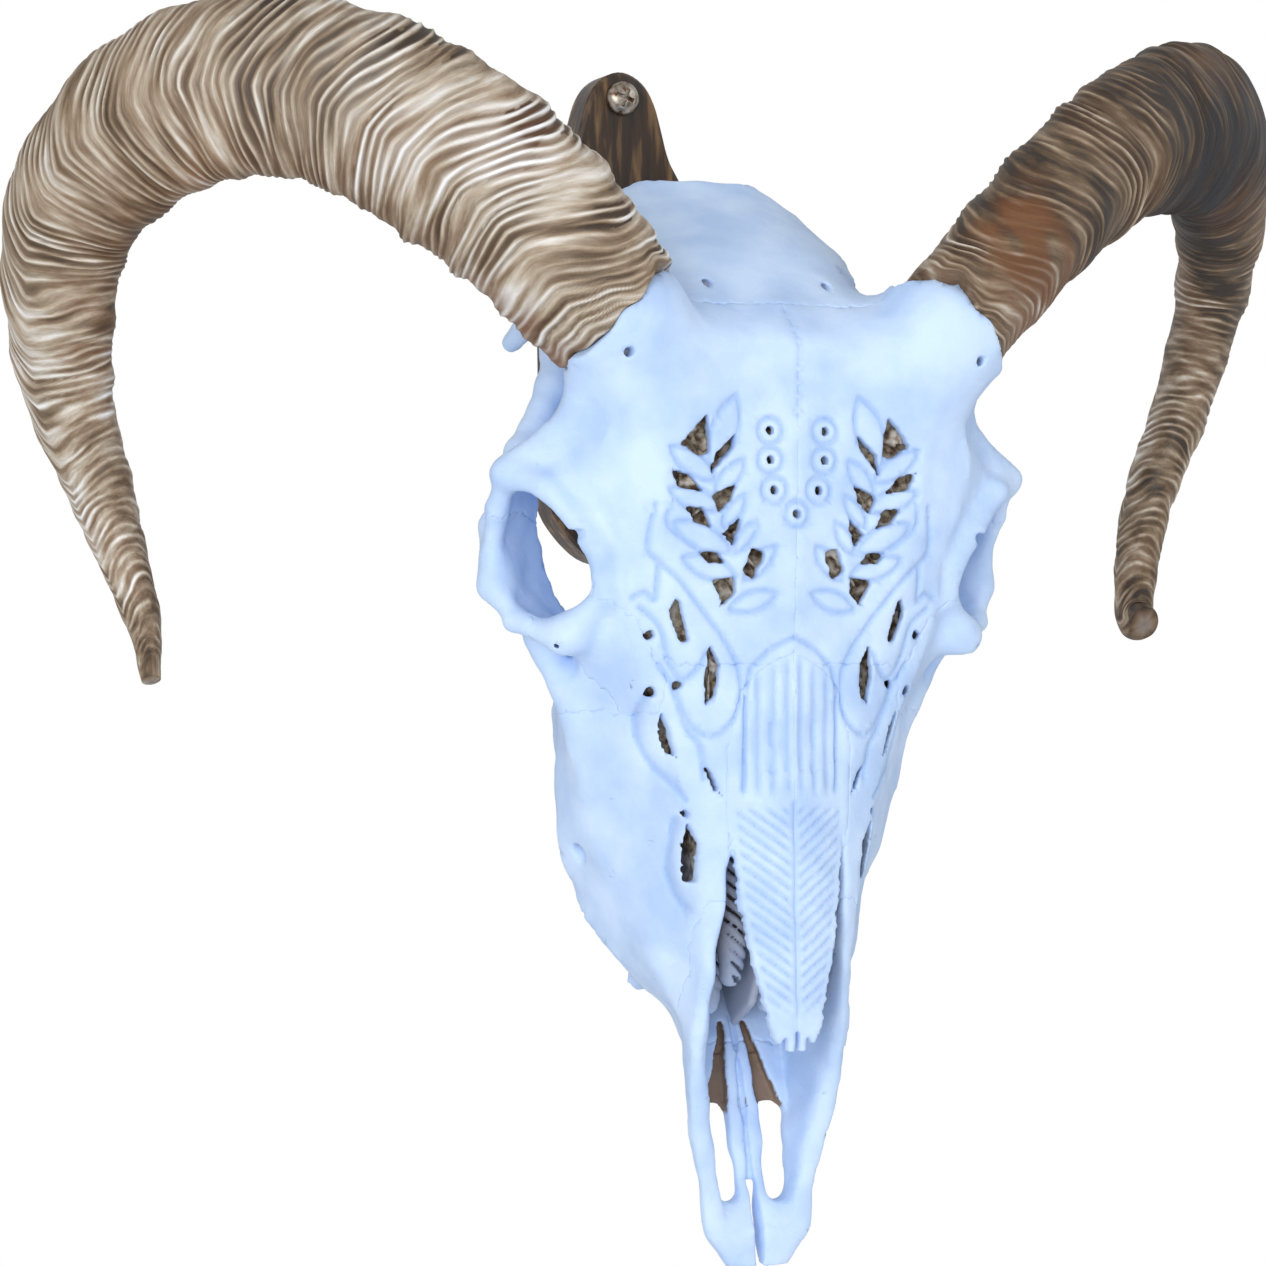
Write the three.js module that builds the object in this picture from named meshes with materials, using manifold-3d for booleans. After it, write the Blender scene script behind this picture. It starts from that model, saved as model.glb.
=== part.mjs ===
// Carved ram skull with horns on a small wooden wall hanger, millimetres.
// Frame: +Z up, the face looks along -Y with the nose down, the wall is the plane Y = 0.
// The shapes are written around the tip of the nose and moved to the wall frame at the end.
import * as THREE from "three";
import { mergeVertices } from "three/addons/utils/BufferGeometryUtils.js";
import Module from "manifold-3d";

const wasm = await Module();
wasm.setup();

// Wall frame: the back of the board sits this far behind the nose tip and this far above it.
const WALL_Y = 100;
const WALL_Z = 240;
// The palate leans back from the vertical by this angle.
const LEAN = (21 * Math.PI) / 180;
const GAP = 0.3;
// The tip of the nose has grown a little towards the animal's left.
const SIDEWAYS = 3;
const SIDEWAYS_BELOW = 90;
const CELL = 2.3;
const SKULL_TRIANGLES = 7200;

const bone = { color: 0xe4ecf2, roughness: 0.62, metalness: 0 };
const horn = { color: 0xa99a86, roughness: 0.58, metalness: 0 };
const wood = { color: 0x4a2f1b, roughness: 0.45, metalness: 0 };
const steel = { color: 0x8b8074, roughness: 0.35, metalness: 0.9 };

// Outline of the skull across Z, from the dorsal midline round the side to the palate: [x, y].
const STATIONS = [
  [0, [[0, -2.5], [4, -3], [7.5, -2.2], [8.5, -0.5], [8, 1], [6.5, 2.2], [3, 2.5], [0, 2.5]]],
  [3, [[0, -3], [7, -3.4], [9.8, -2.6], [10.6, -0.5], [10, 1.2], [8, 3], [4, 3.5], [0, 3.5]]],
  [9, [[0, -4], [11, -4.2], [13.6, -3.4], [14, -1.2], [13, 1], [11, 3.4], [6, 4], [0, 3.6]]],
  [20, [[0, -4], [13.4, -4.8], [15.2, -4.2], [15.4, -2], [14, 1.2], [11.6, 3.8], [6, 4.2], [0, 3.6]]],
  [40, [[0, -8], [17.8, -10.4], [19.4, -9.6], [19.4, -6], [16, 2], [13.4, 7.8], [7, 8.4], [0, 7.2]]],
  [57, [[0, -14], [19.2, -16], [21.2, -14.6], [20.4, -8], [16.8, 2.2], [12.6, 14.4], [8, 16], [0, 13.8]]],
  [64, [[0, -16], [18.6, -18.6], [20.8, -16.8], [21.8, -8], [17.8, 6], [14.6, 19.2], [9, 20.6], [0, 17.4]]],
  [70, [[0, -18], [18, -20.6], [20.6, -18.4], [23.4, -5], [22.4, 12], [19.2, 26.2], [11, 27], [0, 22.2]]],
  [78, [[0, -21], [16.6, -23.4], [20, -20.4], [26.6, -1], [29.8, 15.6], [24.8, 29.6], [13, 30.4], [0, 25.4]]],
  [86, [[0, -23], [16, -25.2], [20.4, -21.6], [30.2, 0], [34.8, 21], [27.4, 32.8], [15, 33.6], [0, 28.4]]],
  [95, [[0, -24.6], [15.6, -26.6], [21.2, -22.4], [34.4, 4], [37.8, 24.8], [29.4, 36.6], [17, 37], [0, 31.4]]],
  [108, [[0, -27], [15.8, -27.4], [23.8, -22.8], [40, 3.4], [43, 21], [31.8, 41.4], [19, 42], [0, 36.2]]],
  [116, [[0, -31.4], [15.4, -27.6], [25.2, -22.8], [42, 3], [43.8, 20.4], [32.2, 44.4], [20, 45], [0, 39.4]]],
  [124, [[0, -31.8], [16.2, -28], [27, -22.8], [44, 2.4], [43.8, 20.4], [33, 47.4], [21, 48], [0, 42.4]]],
  [138, [[0, -31.4], [18.6, -28], [31.4, -22.4], [45.4, 2.2], [42.2, 22], [33.6, 51.4], [22, 52], [0, 46]]],
  [148, [[0, -31.4], [22, -28.2], [36, -22.6], [47, -4], [43, 18], [33, 40], [21, 46], [0, 44]]],
  [156, [[0, -31.6], [25, -28.6], [39.4, -23.4], [48, -12], [39.4, 4], [28, 24], [20, 34], [0, 36]]],
  [166, [[0, -32], [28, -29.4], [41, -25], [45.6, -18.2], [34.6, -5], [24, 12], [19, 28], [0, 32]]],
  [180, [[0, -33], [31, -31], [42.4, -27.2], [47, -21.2], [34.4, -8.6], [24, 10], [20, 30], [0, 36]]],
  [194, [[0, -33.6], [34, -32], [48, -27.8], [54, -20.8], [37.4, -6.6], [25, 12], [22, 34], [0, 40]]],
  [204, [[0, -33.8], [35, -32.4], [48.8, -27.8], [54.4, -18.6], [42.6, -2.6], [28, 14], [25, 38], [0, 44]]],
  [213, [[0, -34], [35, -32.6], [45.6, -28.4], [50.2, -17.8], [45, -1.6], [31, 14], [28, 42], [0, 47]]],
  [223, [[0, -34.2], [34, -32.8], [44.4, -28.6], [50.6, -17.6], [42.6, 1.4], [33, 14], [31, 44], [0, 51]]],
  [232, [[0, -33.6], [27, -31.6], [37, -27], [42.4, -14], [39.4, 2], [34.6, 16], [32, 44], [0, 54]]],
  [239, [[0, -26], [21, -24.6], [29, -19], [34, -6], [35.4, 10], [35, 24], [30, 46], [0, 56]]],
  [247, [[0, -15], [17, -13.6], [26, -8], [32.4, 2], [35, 16], [34, 30], [27, 48], [0, 58]]],
  [256, [[0, -3.4], [14.6, -2.2], [23.8, 2.4], [31.2, 10], [34.6, 21], [32.6, 34], [24, 50], [0, 58]]],
  [266, [[0, 13], [12, 14], [20.4, 18], [26.8, 24], [29.6, 31.6], [26.6, 41], [17, 50], [0, 53]]],
  [273, [[0, 25.6], [12, 26.4], [19, 29], [22.4, 33], [22.6, 36.6], [18, 41], [10, 43.6], [0, 44]]],
  [277, [[0, 31], [9, 31.4], [14, 32.4], [16, 34], [15.4, 36], [12, 37.6], [6, 38.4], [0, 38.6]]],
];

// Space inside the nose across Z: [z, half width in front, half width at the floor, depth of floor].
const NOSE = [
  [12, 9, 8, -1.5],
  [22, 11.6, 10, 0.6],
  [40, 16, 12, 3.4],
  [57, 17.4, 12.6, 8],
  [70, 17, 15, 14.6],
  [86, 16, 17, 22],
  [102, 15, 18, 26],
  [114, 12, 16, 28],
  [122, 6, 9, 24],
];
const NOSE_FRONT = -60;
const NOSE_TOP = 122;
const NOSE_BOTTOM = 12;

// Nasal bones across Z: [z, half width, front of the midline].
const NASALS = [
  [57, 3.4, -32.4],
  [62, 6, -33],
  [70, 8.4, -33.2],
  [82, 11, -32.8],
  [94, 13, -32.2],
  [107, 14.4, -31.8],
  [118, 15.2, -31.6],
  [126, 15.6, -31.6],
];
const NASAL_THICK = 3.2;
const NASAL_RADIUS = 25;

// Rim of the eye socket from the brow round the cheek to the tear bone, with the back edge
// of the bony strap behind it.
const RIM = [[67.5, -11, 198.5], [67.8, -4, 190], [66.8, 2, 180], [66, 2, 171], [63, -3, 163], [55, -14, 158.5]];
const STRAP = [[57, 6, 203], [54.2, 12, 192], [52.2, 14, 181], [50.2, 13, 171], [44, 8, 160], [40, 0, 156]];
const RIM_THICK = 2.6;
const STRAP_THICK = 2;
// Upper margin of the socket along the frontal bone.
const BROW = [
  [67.5, -11, 198.5], [61, -19, 195.5], [53, -22.5, 186], [48, -23, 178],
  [46, -21, 169], [55, -14, 158.5],
];
const BROW_THICK = 2.6;
// Plate that closes the socket towards the horn.
const BROW_BACK = [50.6, -16, 213];
const PLATE_THICK = 2.6;

// Arch of the cheek running back to the ear.
const ARCH = [[65, 4, 172], [62.4, 11, 186], [53, 19, 205], [41.6, 27, 222], [37.4, 33, 236], [34, 38, 245]];
const ARCH_THICK = [4.4, 4, 3.8, 4.2, 4.6, 5];

// Cheek teeth from front to back: length along the row and breadth.
const TEETH = [[7, 6], [9, 8.4], [9.4, 10.4], [13, 12.4], [16, 13.4], [18.6, 12.6]];
const ROW_START = [73, 19.4];
const ROW_END = [146, 33];
const CROWN = 5;
const ROOT = 6;

const { min, max, abs, sqrt, hypot, sin, cos, PI } = Math;
const clamp = (v, a, b) => min(max(v, a), b);
const lerp = (a, b, t) => a + (b - a) * t;
// From length along the palate, side and height over the palate to the upright frame.
const upright = (a, x, h) => [x, sin(LEAN) * a - cos(LEAN) * h, cos(LEAN) * a + sin(LEAN) * h];

// Value of a table at z, straight between its rows.
function rowAt(table, z) {
  let i = 0;
  while (i < table.length - 2 && z > table[i + 1][0]) i++;
  const t = clamp((z - table[i][0]) / (table[i + 1][0] - table[i][0]), 0, 1);
  return table[i].map((v, k) => lerp(v, table[i + 1][k], t));
}

// Outline at z, smooth through the stations.
function outlineAt(z) {
  const n = STATIONS.length;
  let i = 0;
  while (i < n - 2 && z > STATIONS[i + 1][0]) i++;
  const [a, b, c, d] = [max(i - 1, 0), i, i + 1, min(i + 2, n - 1)].map((k) => STATIONS[k]);
  const t = clamp((z - b[0]) / (c[0] - b[0]), 0, 1);
  const slope = (p, q, k, m) => ((q[1][k][m] - p[1][k][m]) / (q[0] - p[0])) * (c[0] - b[0]);
  const point = (k, m) => {
    const s0 = slope(a === b ? b : a, c, k, m);
    const s1 = slope(b, d === c ? c : d, k, m);
    const u = t * t * t;
    const v = t * t;
    return (2 * u - 3 * v + 1) * b[1][k][m] + (u - 2 * v + t) * s0
      + (3 * v - 2 * u) * c[1][k][m] + (u - v) * s1;
  };
  return b[1].map((_, k) => [point(k, 0), point(k, 1)]);
}

// Signed distance in the plane from a half outline, positive outside.
function planeDistance(outline, x, y) {
  let best = Infinity;
  let inside = false;
  for (let i = 0; i < outline.length; i++) {
    const [ax, ay] = outline[i];
    const [bx, by] = outline[(i + 1) % outline.length];
    if (ay > y !== by > y && x < ((bx - ax) * (y - ay)) / (by - ay) + ax) inside = !inside;
    if (i === outline.length - 1) break;
    const dx = bx - ax;
    const dy = by - ay;
    const t = clamp(((x - ax) * dx + (y - ay) * dy) / (dx * dx + dy * dy || 1), 0, 1);
    best = min(best, hypot(x - ax - dx * t, y - ay - dy * t));
  }
  return inside ? -best : best;
}

// Rounded join, cut and rod, plate and egg as distances.
function join(a, b, k) {
  const h = max(k - abs(a - b), 0) / k;
  return min(a, b) - (h * h * k) / 4;
}
const cut = (a, b, k) => -join(-a, b, k);
function rod(p, a, b, ra, rb = ra) {
  const u = [b[0] - a[0], b[1] - a[1], b[2] - a[2]];
  const w = [p[0] - a[0], p[1] - a[1], p[2] - a[2]];
  const t = clamp((w[0] * u[0] + w[1] * u[1] + w[2] * u[2]) / (u[0] ** 2 + u[1] ** 2 + u[2] ** 2), 0, 1);
  return hypot(w[0] - u[0] * t, w[1] - u[1] * t, w[2] - u[2] * t) - lerp(ra, rb, t);
}
const triangle = new THREE.Triangle();
const probe = new THREE.Vector3();
const nearest = new THREE.Vector3();
function plate(p, a, b, c, r) {
  triangle.a.set(...a);
  triangle.b.set(...b);
  triangle.c.set(...c);
  probe.set(...p);
  triangle.closestPointToPoint(probe, nearest);
  return probe.distanceTo(nearest) - r;
}
function egg(p, c, r) {
  const q = [(p[0] - c[0]) / r[0], (p[1] - c[1]) / r[1], (p[2] - c[2]) / r[2]];
  const k0 = hypot(...q);
  const k1 = hypot(q[0] / r[0], q[1] / r[1], q[2] / r[2]);
  return k1 ? (k0 * (k0 - 1)) / k1 : -min(...r);
}

// Distance from the bone of the skull, p in the upright frame with x made positive.
function skull(p, outline) {
  const [x, y, z] = p;
  const along = sin(LEAN) * y + cos(LEAN) * z;
  const height = -cos(LEAN) * y + sin(LEAN) * z;
  let d = max(planeDistance(outline, x, y), z - 277, -z);

  // Nose, open in front.
  const [, front, floor, deep] = rowAt(NOSE, z);
  const t = clamp((y + 20) / (deep + 20), 0, 1);
  const room = max(x - lerp(front, floor, t), y - deep, NOSE_FRONT - y, z - NOSE_TOP, NOSE_BOTTOM - z);
  d = cut(d, room, 3);
  // Cleft between the two halves of the upper jaw, and the slits beside it.
  d = max(d, -max(x - 1.1, z - 66, -60 - y, y - 40));
  d = max(d, -(rod([x, 0, z], [6.4, 0, 19], [7.6, 0, 37], 2.8, 3.4)));

  // Nasal bones over the opening.
  const [, half, face] = rowAt(NASALS, z);
  const bow = face + (x * x) / (2 * NASAL_RADIUS);
  const nasal = max(x - half, bow - y, y - bow - NASAL_THICK, 57 - z, z - 126);
  d = min(d, nasal);

  // Swelling over the first cheek teeth and the ridge in front of the cheek.
  d = join(d, egg(p, [24.6, -3, 84], [4, 6, 9]), 4);
  d = join(d, rod(p, [42, 4, 134], [54, 2, 158], 2.5, 4), 8);

  // Eye socket: rim, strap behind it, margin of the brow and the knob of the tear bone.
  let ring = Infinity;
  for (let i = 0; i + 1 < RIM.length; i++) {
    ring = join(ring, rod(p, RIM[i], RIM[i + 1], RIM_THICK), 1.5);
    ring = join(ring, plate(p, RIM[i], RIM[i + 1], STRAP[i], STRAP_THICK), 1.5);
    ring = join(ring, plate(p, STRAP[i], STRAP[i + 1], RIM[i + 1], STRAP_THICK), 1.5);
    ring = join(ring, rod(p, BROW[i], BROW[i + 1], BROW_THICK), 1.5);
  }
  ring = join(ring, plate(p, RIM[0], BROW_BACK, [46, -24, 200], PLATE_THICK), 4);
  ring = join(ring, plate(p, RIM[0], BROW_BACK, STRAP[0], PLATE_THICK), 4);
  ring = join(ring, plate(p, [43, -6, 214], BROW_BACK, STRAP[0], PLATE_THICK), 4);
  ring = join(ring, egg(p, [52, -14, 160], [6, 6, 5]), 4);
  d = join(d, ring, 5);

  // Cheek arch and its root by the ear, with the joint for the lower jaw.
  let arch = Infinity;
  for (let i = 0; i + 1 < ARCH.length; i++) {
    arch = join(arch, rod(p, ARCH[i], ARCH[i + 1], ARCH_THICK[i], ARCH_THICK[i + 1]), 2);
  }
  arch = join(arch, rod(p, [34, 42, 234], [37, 38, 230], 5, 4), 5);
  d = join(d, arch, 4);

  // Stump of the horn and the bony core inside it.
  d = join(d, rod(p, [24, -12, 212], [43, -25, 235], 17, 17.5), 10);

  // Underside: base of the brain case, bulla, ear passage, side spur and condyle.
  d = join(d, rod(p, [0, 34, 186], [0, 60, 248], 9, 8.5), 6);
  d = join(d, egg(p, upright(224, 24, 24), [7.6, 10, 12]), 4);
  d = join(d, rod(p, upright(236, 28, 38), upright(237, 34, 44), 5, 3.6), 4);
  d = join(d, rod(p, upright(254, 28, 42), upright(252, 33, 7.5), 6, 2.6), 5);
  d = join(d, egg(p, upright(267, 14, 38), [7.4, 8.6, 9.4]), 4);
  // Wings beside the throat and the back edge of the palate.
  d = join(d, plate(p, upright(146, 12, 5), upright(176, 12, 34), upright(192, 11, 12), 1.8), 3);
  d = join(d, plate(p, upright(192, 11, 12), upright(176, 12, 34), upright(204, 14, 34), 1.8), 3);
  d = join(d, rod(p, upright(140, 14, 6), upright(146, 24, 8), 4, 4), 4);

  // Great hole at the back of the head.
  d = cut(d, rod(p, [0, 58, 279], [0, 45, 245], 9.4), 2);

  // Cheek teeth, sunk into the jaw.
  const rowLength = hypot(ROW_END[0] - ROW_START[0], ROW_END[1] - ROW_START[1]);
  const turn = [(ROW_END[0] - ROW_START[0]) / rowLength, (ROW_END[1] - ROW_START[1]) / rowLength];
  const u = (along - ROW_START[0]) * turn[0] + (x - ROW_START[1]) * turn[1];
  const v = -(along - ROW_START[0]) * turn[1] + (x - ROW_START[1]) * turn[0];
  if (u > -4 && u < rowLength + 4 && height < 12) {
    let start = 0;
    for (const [length, broad] of TEETH) {
      const q = [
        abs(u - start - length / 2) - length / 2 + 1.8,
        abs(v + broad / 2) - broad / 2 + 1.8,
        abs(height - (ROOT - CROWN) / 2) - (ROOT + CROWN) / 2 + 1.8,
      ];
      d = min(d, hypot(...q.map((s) => max(s, 0))) + min(max(...q), 0) - 1.5);
      start += length;
    }
  }
  return d;
}

// Closed surface of a distance that mirrors over x = 0, by one point in each crossed cell.
function surfaceOf(distance, low, high, cell) {
  const size = low.map((v, k) => Math.ceil((high[k] - v) / cell) + 1);
  const [nx, ny, nz] = size;
  const values = new Float32Array(nx * ny * nz);
  const at = (i, j, k) => i + nx * (j + ny * k);
  for (let k = 0; k < nz; k++) {
    const z = low[2] + k * cell;
    const outline = outlineAt(z);
    for (let j = 0; j < ny; j++) {
      for (let i = 0; i < nx; i++) {
        values[at(i, j, k)] = distance([abs(low[0] + i * cell), low[1] + j * cell, z], outline);
      }
    }
  }
  // A square of the grid whose signs alternate would pinch the surface, so its weaker hollow corner is filled.
  const steps = [1, nx, nx * ny];
  for (let again = true; again; ) {
    again = false;
    for (let k = 0; k + 1 < nz; k++) {
      for (let j = 0; j + 1 < ny; j++) {
        for (let i = 0; i + 1 < nx; i++) {
          for (let m = 0; m < 3; m++) {
            const s = steps[(m + 1) % 3];
            const r = steps[(m + 2) % 3];
            const here = at(i, j, k);
            const square = [here, here + s, here + s + r, here + r];
            const sign = square.map((v) => values[v] < 0);
            if (sign[0] !== sign[2] || sign[1] !== sign[3] || sign[0] === sign[1]) continue;
            const hollow = square.filter((v, c) => !sign[c]);
            values[values[hollow[0]] < values[hollow[1]] ? hollow[0] : hollow[1]] = -0.01 * cell;
            again = true;
          }
        }
      }
    }
  }
  const cellPoint = new Map();
  const points = [];
  const corner = (c) => [c & 1, (c >> 1) & 1, c >> 2];
  for (let k = 0; k + 1 < nz; k++) {
    for (let j = 0; j + 1 < ny; j++) {
      for (let i = 0; i + 1 < nx; i++) {
        const sum = [0, 0, 0];
        let count = 0;
        for (let c = 0; c < 8; c++) {
          const o = corner(c);
          const a = values[at(i + o[0], j + o[1], k + o[2])];
          for (let m = 0; m < 3; m++) {
            if (o[m]) continue;
            const e = [...o];
            e[m] = 1;
            const b = values[at(i + e[0], j + e[1], k + e[2])];
            if (a < 0 === b < 0) continue;
            const t = a / (a - b);
            sum[0] += m === 0 ? t : o[0];
            sum[1] += m === 1 ? t : o[1];
            sum[2] += m === 2 ? t : o[2];
            count++;
          }
        }
        if (!count) continue;
        cellPoint.set(at(i, j, k), points.length);
        points.push([i, j, k].map((v, m) => low[m] + (v + sum[m] / count) * cell));
      }
    }
  }
  const faces = [];
  for (let k = 1; k + 1 < nz; k++) {
    for (let j = 1; j + 1 < ny; j++) {
      for (let i = 1; i + 1 < nx; i++) {
        const here = at(i, j, k);
        for (let m = 0; m < 3; m++) {
          const a = values[here] < 0;
          if (a === values[here + steps[m]] < 0) continue;
          const s = steps[(m + 1) % 3];
          const r = steps[(m + 2) % 3];
          const q = [here, here - s, here - s - r, here - r].map((v) => cellPoint.get(v));
          if (!a) q.reverse();
          faces.push([q[0], q[1], q[2]], [q[0], q[2], q[3]]);
        }
      }
    }
  }
  return { points, faces };
}

// Joins the ends of the edges that change the shape least until few triangles are left.
function thin({ points, faces }, target) {
  const n = points.length;
  const quadric = Array.from({ length: n }, () => new Float64Array(10));
  const around = Array.from({ length: n }, () => new Set());
  const alive = faces.map(() => true);
  const plane = (f) => {
    const [a, b, c] = f.map((v) => points[v]);
    const u = [b[0] - a[0], b[1] - a[1], b[2] - a[2]];
    const v = [c[0] - a[0], c[1] - a[1], c[2] - a[2]];
    const m = [u[1] * v[2] - u[2] * v[1], u[2] * v[0] - u[0] * v[2], u[0] * v[1] - u[1] * v[0]];
    const l = hypot(...m) || 1e-12;
    return [m[0] / l, m[1] / l, m[2] / l, l];
  };
  faces.forEach((f, i) => {
    const [a, b, c, l] = plane(f);
    const p = points[f[0]];
    const d = -(a * p[0] + b * p[1] + c * p[2]);
    const q = [a * a, a * b, a * c, a * d, b * b, b * c, b * d, c * c, c * d, d * d];
    for (const v of f) {
      around[v].add(i);
      for (let k = 0; k < 10; k++) quadric[v][k] += q[k] * l;
    }
  });
  const errorAt = (q, [x, y, z]) => q[0] * x * x + 2 * q[1] * x * y + 2 * q[2] * x * z + 2 * q[3] * x
    + q[4] * y * y + 2 * q[5] * y * z + 2 * q[6] * y + q[7] * z * z + 2 * q[8] * z + q[9];
  const best = (a, b) => {
    const q = quadric[a].map((v, k) => v + quadric[b][k]);
    const mid = points[a].map((v, k) => (v + points[b][k]) / 2);
    const spots = [mid, points[a], points[b]];
    const det = q[0] * (q[4] * q[7] - q[5] * q[5]) - q[1] * (q[1] * q[7] - q[5] * q[2])
      + q[2] * (q[1] * q[5] - q[4] * q[2]);
    if (abs(det) > 1e-3) {
      const [r, s, t] = [-q[3], -q[6], -q[8]];
      const spot = [
        (r * (q[4] * q[7] - q[5] * q[5]) - q[1] * (s * q[7] - q[5] * t) + q[2] * (s * q[5] - q[4] * t)) / det,
        (q[0] * (s * q[7] - t * q[5]) - r * (q[1] * q[7] - q[5] * q[2]) + q[2] * (q[1] * t - s * q[2])) / det,
        (q[0] * (q[4] * t - s * q[5]) - q[1] * (q[1] * t - s * q[2]) + r * (q[1] * q[5] - q[4] * q[2])) / det,
      ];
      if (hypot(...spot.map((v, k) => v - mid[k])) < 3 * CELL) spots.unshift(spot);
    }
    let pick = spots[0];
    for (const s of spots) if (errorAt(q, s) < errorAt(q, pick)) pick = s;
    const long = hypot(...points[a].map((v, k) => v - points[b][k]));
    return [errorAt(q, pick) + 0.002 * long ** 4, pick];
  };
  // A heap of edges, the least change on top.
  const heap = [];
  const stamp = new Int32Array(n);
  const push = (e) => {
    let i = heap.push(e) - 1;
    while (i && heap[(i - 1) >> 1][0] > heap[i][0]) {
      [heap[i], heap[(i - 1) >> 1]] = [heap[(i - 1) >> 1], heap[i]];
      i = (i - 1) >> 1;
    }
  };
  const pop = () => {
    const top = heap[0];
    const last = heap.pop();
    if (heap.length) {
      heap[0] = last;
      for (let i = 0; ; ) {
        let j = 2 * i + 1;
        if (j >= heap.length) break;
        if (j + 1 < heap.length && heap[j + 1][0] < heap[j][0]) j++;
        if (heap[i][0] <= heap[j][0]) break;
        [heap[i], heap[j]] = [heap[j], heap[i]];
        i = j;
      }
    }
    return top;
  };
  const ringOf = (v) => {
    const ring = new Set();
    for (const i of around[v]) for (const w of faces[i]) if (w !== v) ring.add(w);
    return ring;
  };
  const offer = (a, b) => {
    const [cost, spot] = best(a, b);
    push([cost, a, b, stamp[a] + stamp[b], spot]);
  };
  for (let v = 0; v < n; v++) for (const w of ringOf(v)) if (v < w) offer(v, w);
  let left = faces.length;
  while (left > target && heap.length) {
    const [, a, b, mark, spot] = pop();
    if (mark !== stamp[a] + stamp[b] || !around[a].size || !around[b].size) continue;
    const ringA = ringOf(a);
    const ringB = ringOf(b);
    if (!ringA.has(b)) continue;
    let shared = 0;
    for (const w of ringA) if (ringB.has(w)) shared++;
    if (shared !== 2) continue;
    let turned = false;
    for (const [v, other] of [[a, b], [b, a]]) {
      for (const i of around[v]) {
        if (faces[i].includes(other)) continue;
        const before = plane(faces[i]);
        const kept = points[v];
        points[v] = spot;
        const after = plane(faces[i]);
        points[v] = kept;
        if (before[0] * after[0] + before[1] * after[1] + before[2] * after[2] < 0.35) turned = true;
      }
    }
    if (turned) continue;
    points[a] = spot;
    quadric[b].forEach((v, k) => (quadric[a][k] += v));
    for (const i of [...around[b]]) {
      if (faces[i].includes(a)) {
        for (const w of faces[i]) around[w].delete(i);
        alive[i] = false;
        left--;
      } else {
        faces[i] = faces[i].map((w) => (w === b ? a : w));
        around[a].add(i);
      }
    }
    around[b].clear();
    stamp[a] += 1000;
    stamp[b] += 1000;
    for (const w of ringOf(a)) offer(a, w);
  }
  return { points, faces: faces.filter((_, i) => alive[i]) };
}

function solidOf(geometry) {
  const clean = geometry.clone();
  clean.deleteAttribute("normal");
  clean.deleteAttribute("uv");
  const merged = mergeVertices(clean, 1e-4);
  return new wasm.Manifold(new wasm.Mesh({
    numProp: 3,
    vertProperties: new Float32Array(merged.attributes.position.array),
    triVerts: new Uint32Array(merged.index.array),
  }));
}
function solidOfSurface({ points, faces }) {
  return new wasm.Manifold(new wasm.Mesh({
    numProp: 3,
    vertProperties: new Float32Array(points.flat()),
    triVerts: new Uint32Array(faces.flat()),
  }));
}
function largest(solid) {
  const bodies = solid.decompose();
  return bodies.reduce((a, b) => (abs(b.volume()) > abs(a.volume()) ? b : a));
}
function geometryOf(solid) {
  const mesh = solid.getMesh();
  const points = new Float32Array(mesh.vertProperties);
  for (let i = 0; i < points.length; i += 3) {
    points[i] += SIDEWAYS * max(0, 1 - points[i + 2] / SIDEWAYS_BELOW) ** 2;
  }
  const geometry = new THREE.BufferGeometry();
  geometry.setAttribute("position", new THREE.BufferAttribute(points, 3));
  geometry.setIndex(new THREE.BufferAttribute(new Uint32Array(mesh.triVerts), 1));
  return geometry;
}

// Straight prism over an outline. View "front" takes [x, z] and runs along y, view "side"
// takes [y, z] and runs along x, front with y turned round. The outline grows outwards by grow.
function prism(outline, view, from, to, grow = 0) {
  let area = 0;
  outline.forEach(([x, y], i) => {
    const [u, v] = outline[(i + 1) % outline.length];
    area += x * v - u * y;
  });
  const ring = area < 0 ? [...outline].reverse() : outline;
  const grown = ring.map((p, i) => {
    const a = ring[(i + ring.length - 1) % ring.length];
    const b = ring[(i + 1) % ring.length];
    const e = new THREE.Vector2(p[0] - a[0], p[1] - a[1]).normalize();
    const f = new THREE.Vector2(b[0] - p[0], b[1] - p[1]).normalize();
    const m = new THREE.Vector2(e.y + f.y, -e.x - f.x);
    const s = grow / max(0.3, (m.x * e.y - m.y * e.x));
    return new THREE.Vector2(p[0] + m.x * s, p[1] + m.y * s);
  });
  const geometry = new THREE.ExtrudeGeometry(new THREE.Shape(grown), { depth: to - from, bevelEnabled: false });
  geometry.translate(0, 0, from);
  const basis = new THREE.Matrix4();
  if (view === "front") {
    basis.set(1, 0, 0, 0, 0, 0, -1, 0, 0, 1, 0, 0, 0, 0, 0, 1);
  } else {
    basis.set(0, 0, 1, 0, 1, 0, 0, 0, 0, 1, 0, 0, 0, 0, 0, 1);
  }
  geometry.applyMatrix4(basis);
  return solidOf(geometry);
}

// Horn centre lines (x is the distance from the midline) and their sections:
// half depth, half breadth and turn of the deep axis, at equal steps from base to tip.
const HORN_RIGHT = [
  [45.4, -25.8, 237.3], [73, -22.2, 266.2], [108.1, -5.8, 289.4], [140.3, 17.2, 290.3],
  [161.8, 45.8, 266.3], [160.6, 63, 227.7], [150, 66.7, 195.9], [141.6, 57.6, 164.1], [141.2, 49.3, 147.9],
];
const HORN_LEFT = [
  [45.3, -25.8, 237.2], [73.4, -22, 266], [107.6, -5.9, 288.4], [141.8, 17.2, 292.6],
  [161, 45.6, 265.8], [160.8, 63, 228.4], [149.9, 66.8, 194.8], [141.3, 57.9, 166.6], [139.8, 49.2, 162.4],
];
const HORN_DEEP = [20, 21.6, 23, 23.4, 23, 22.2, 22, 21.6, 20.2, 18.6, 17.6, 15.8, 13.8, 11.2, 8.3, 6, 3.4];
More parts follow.
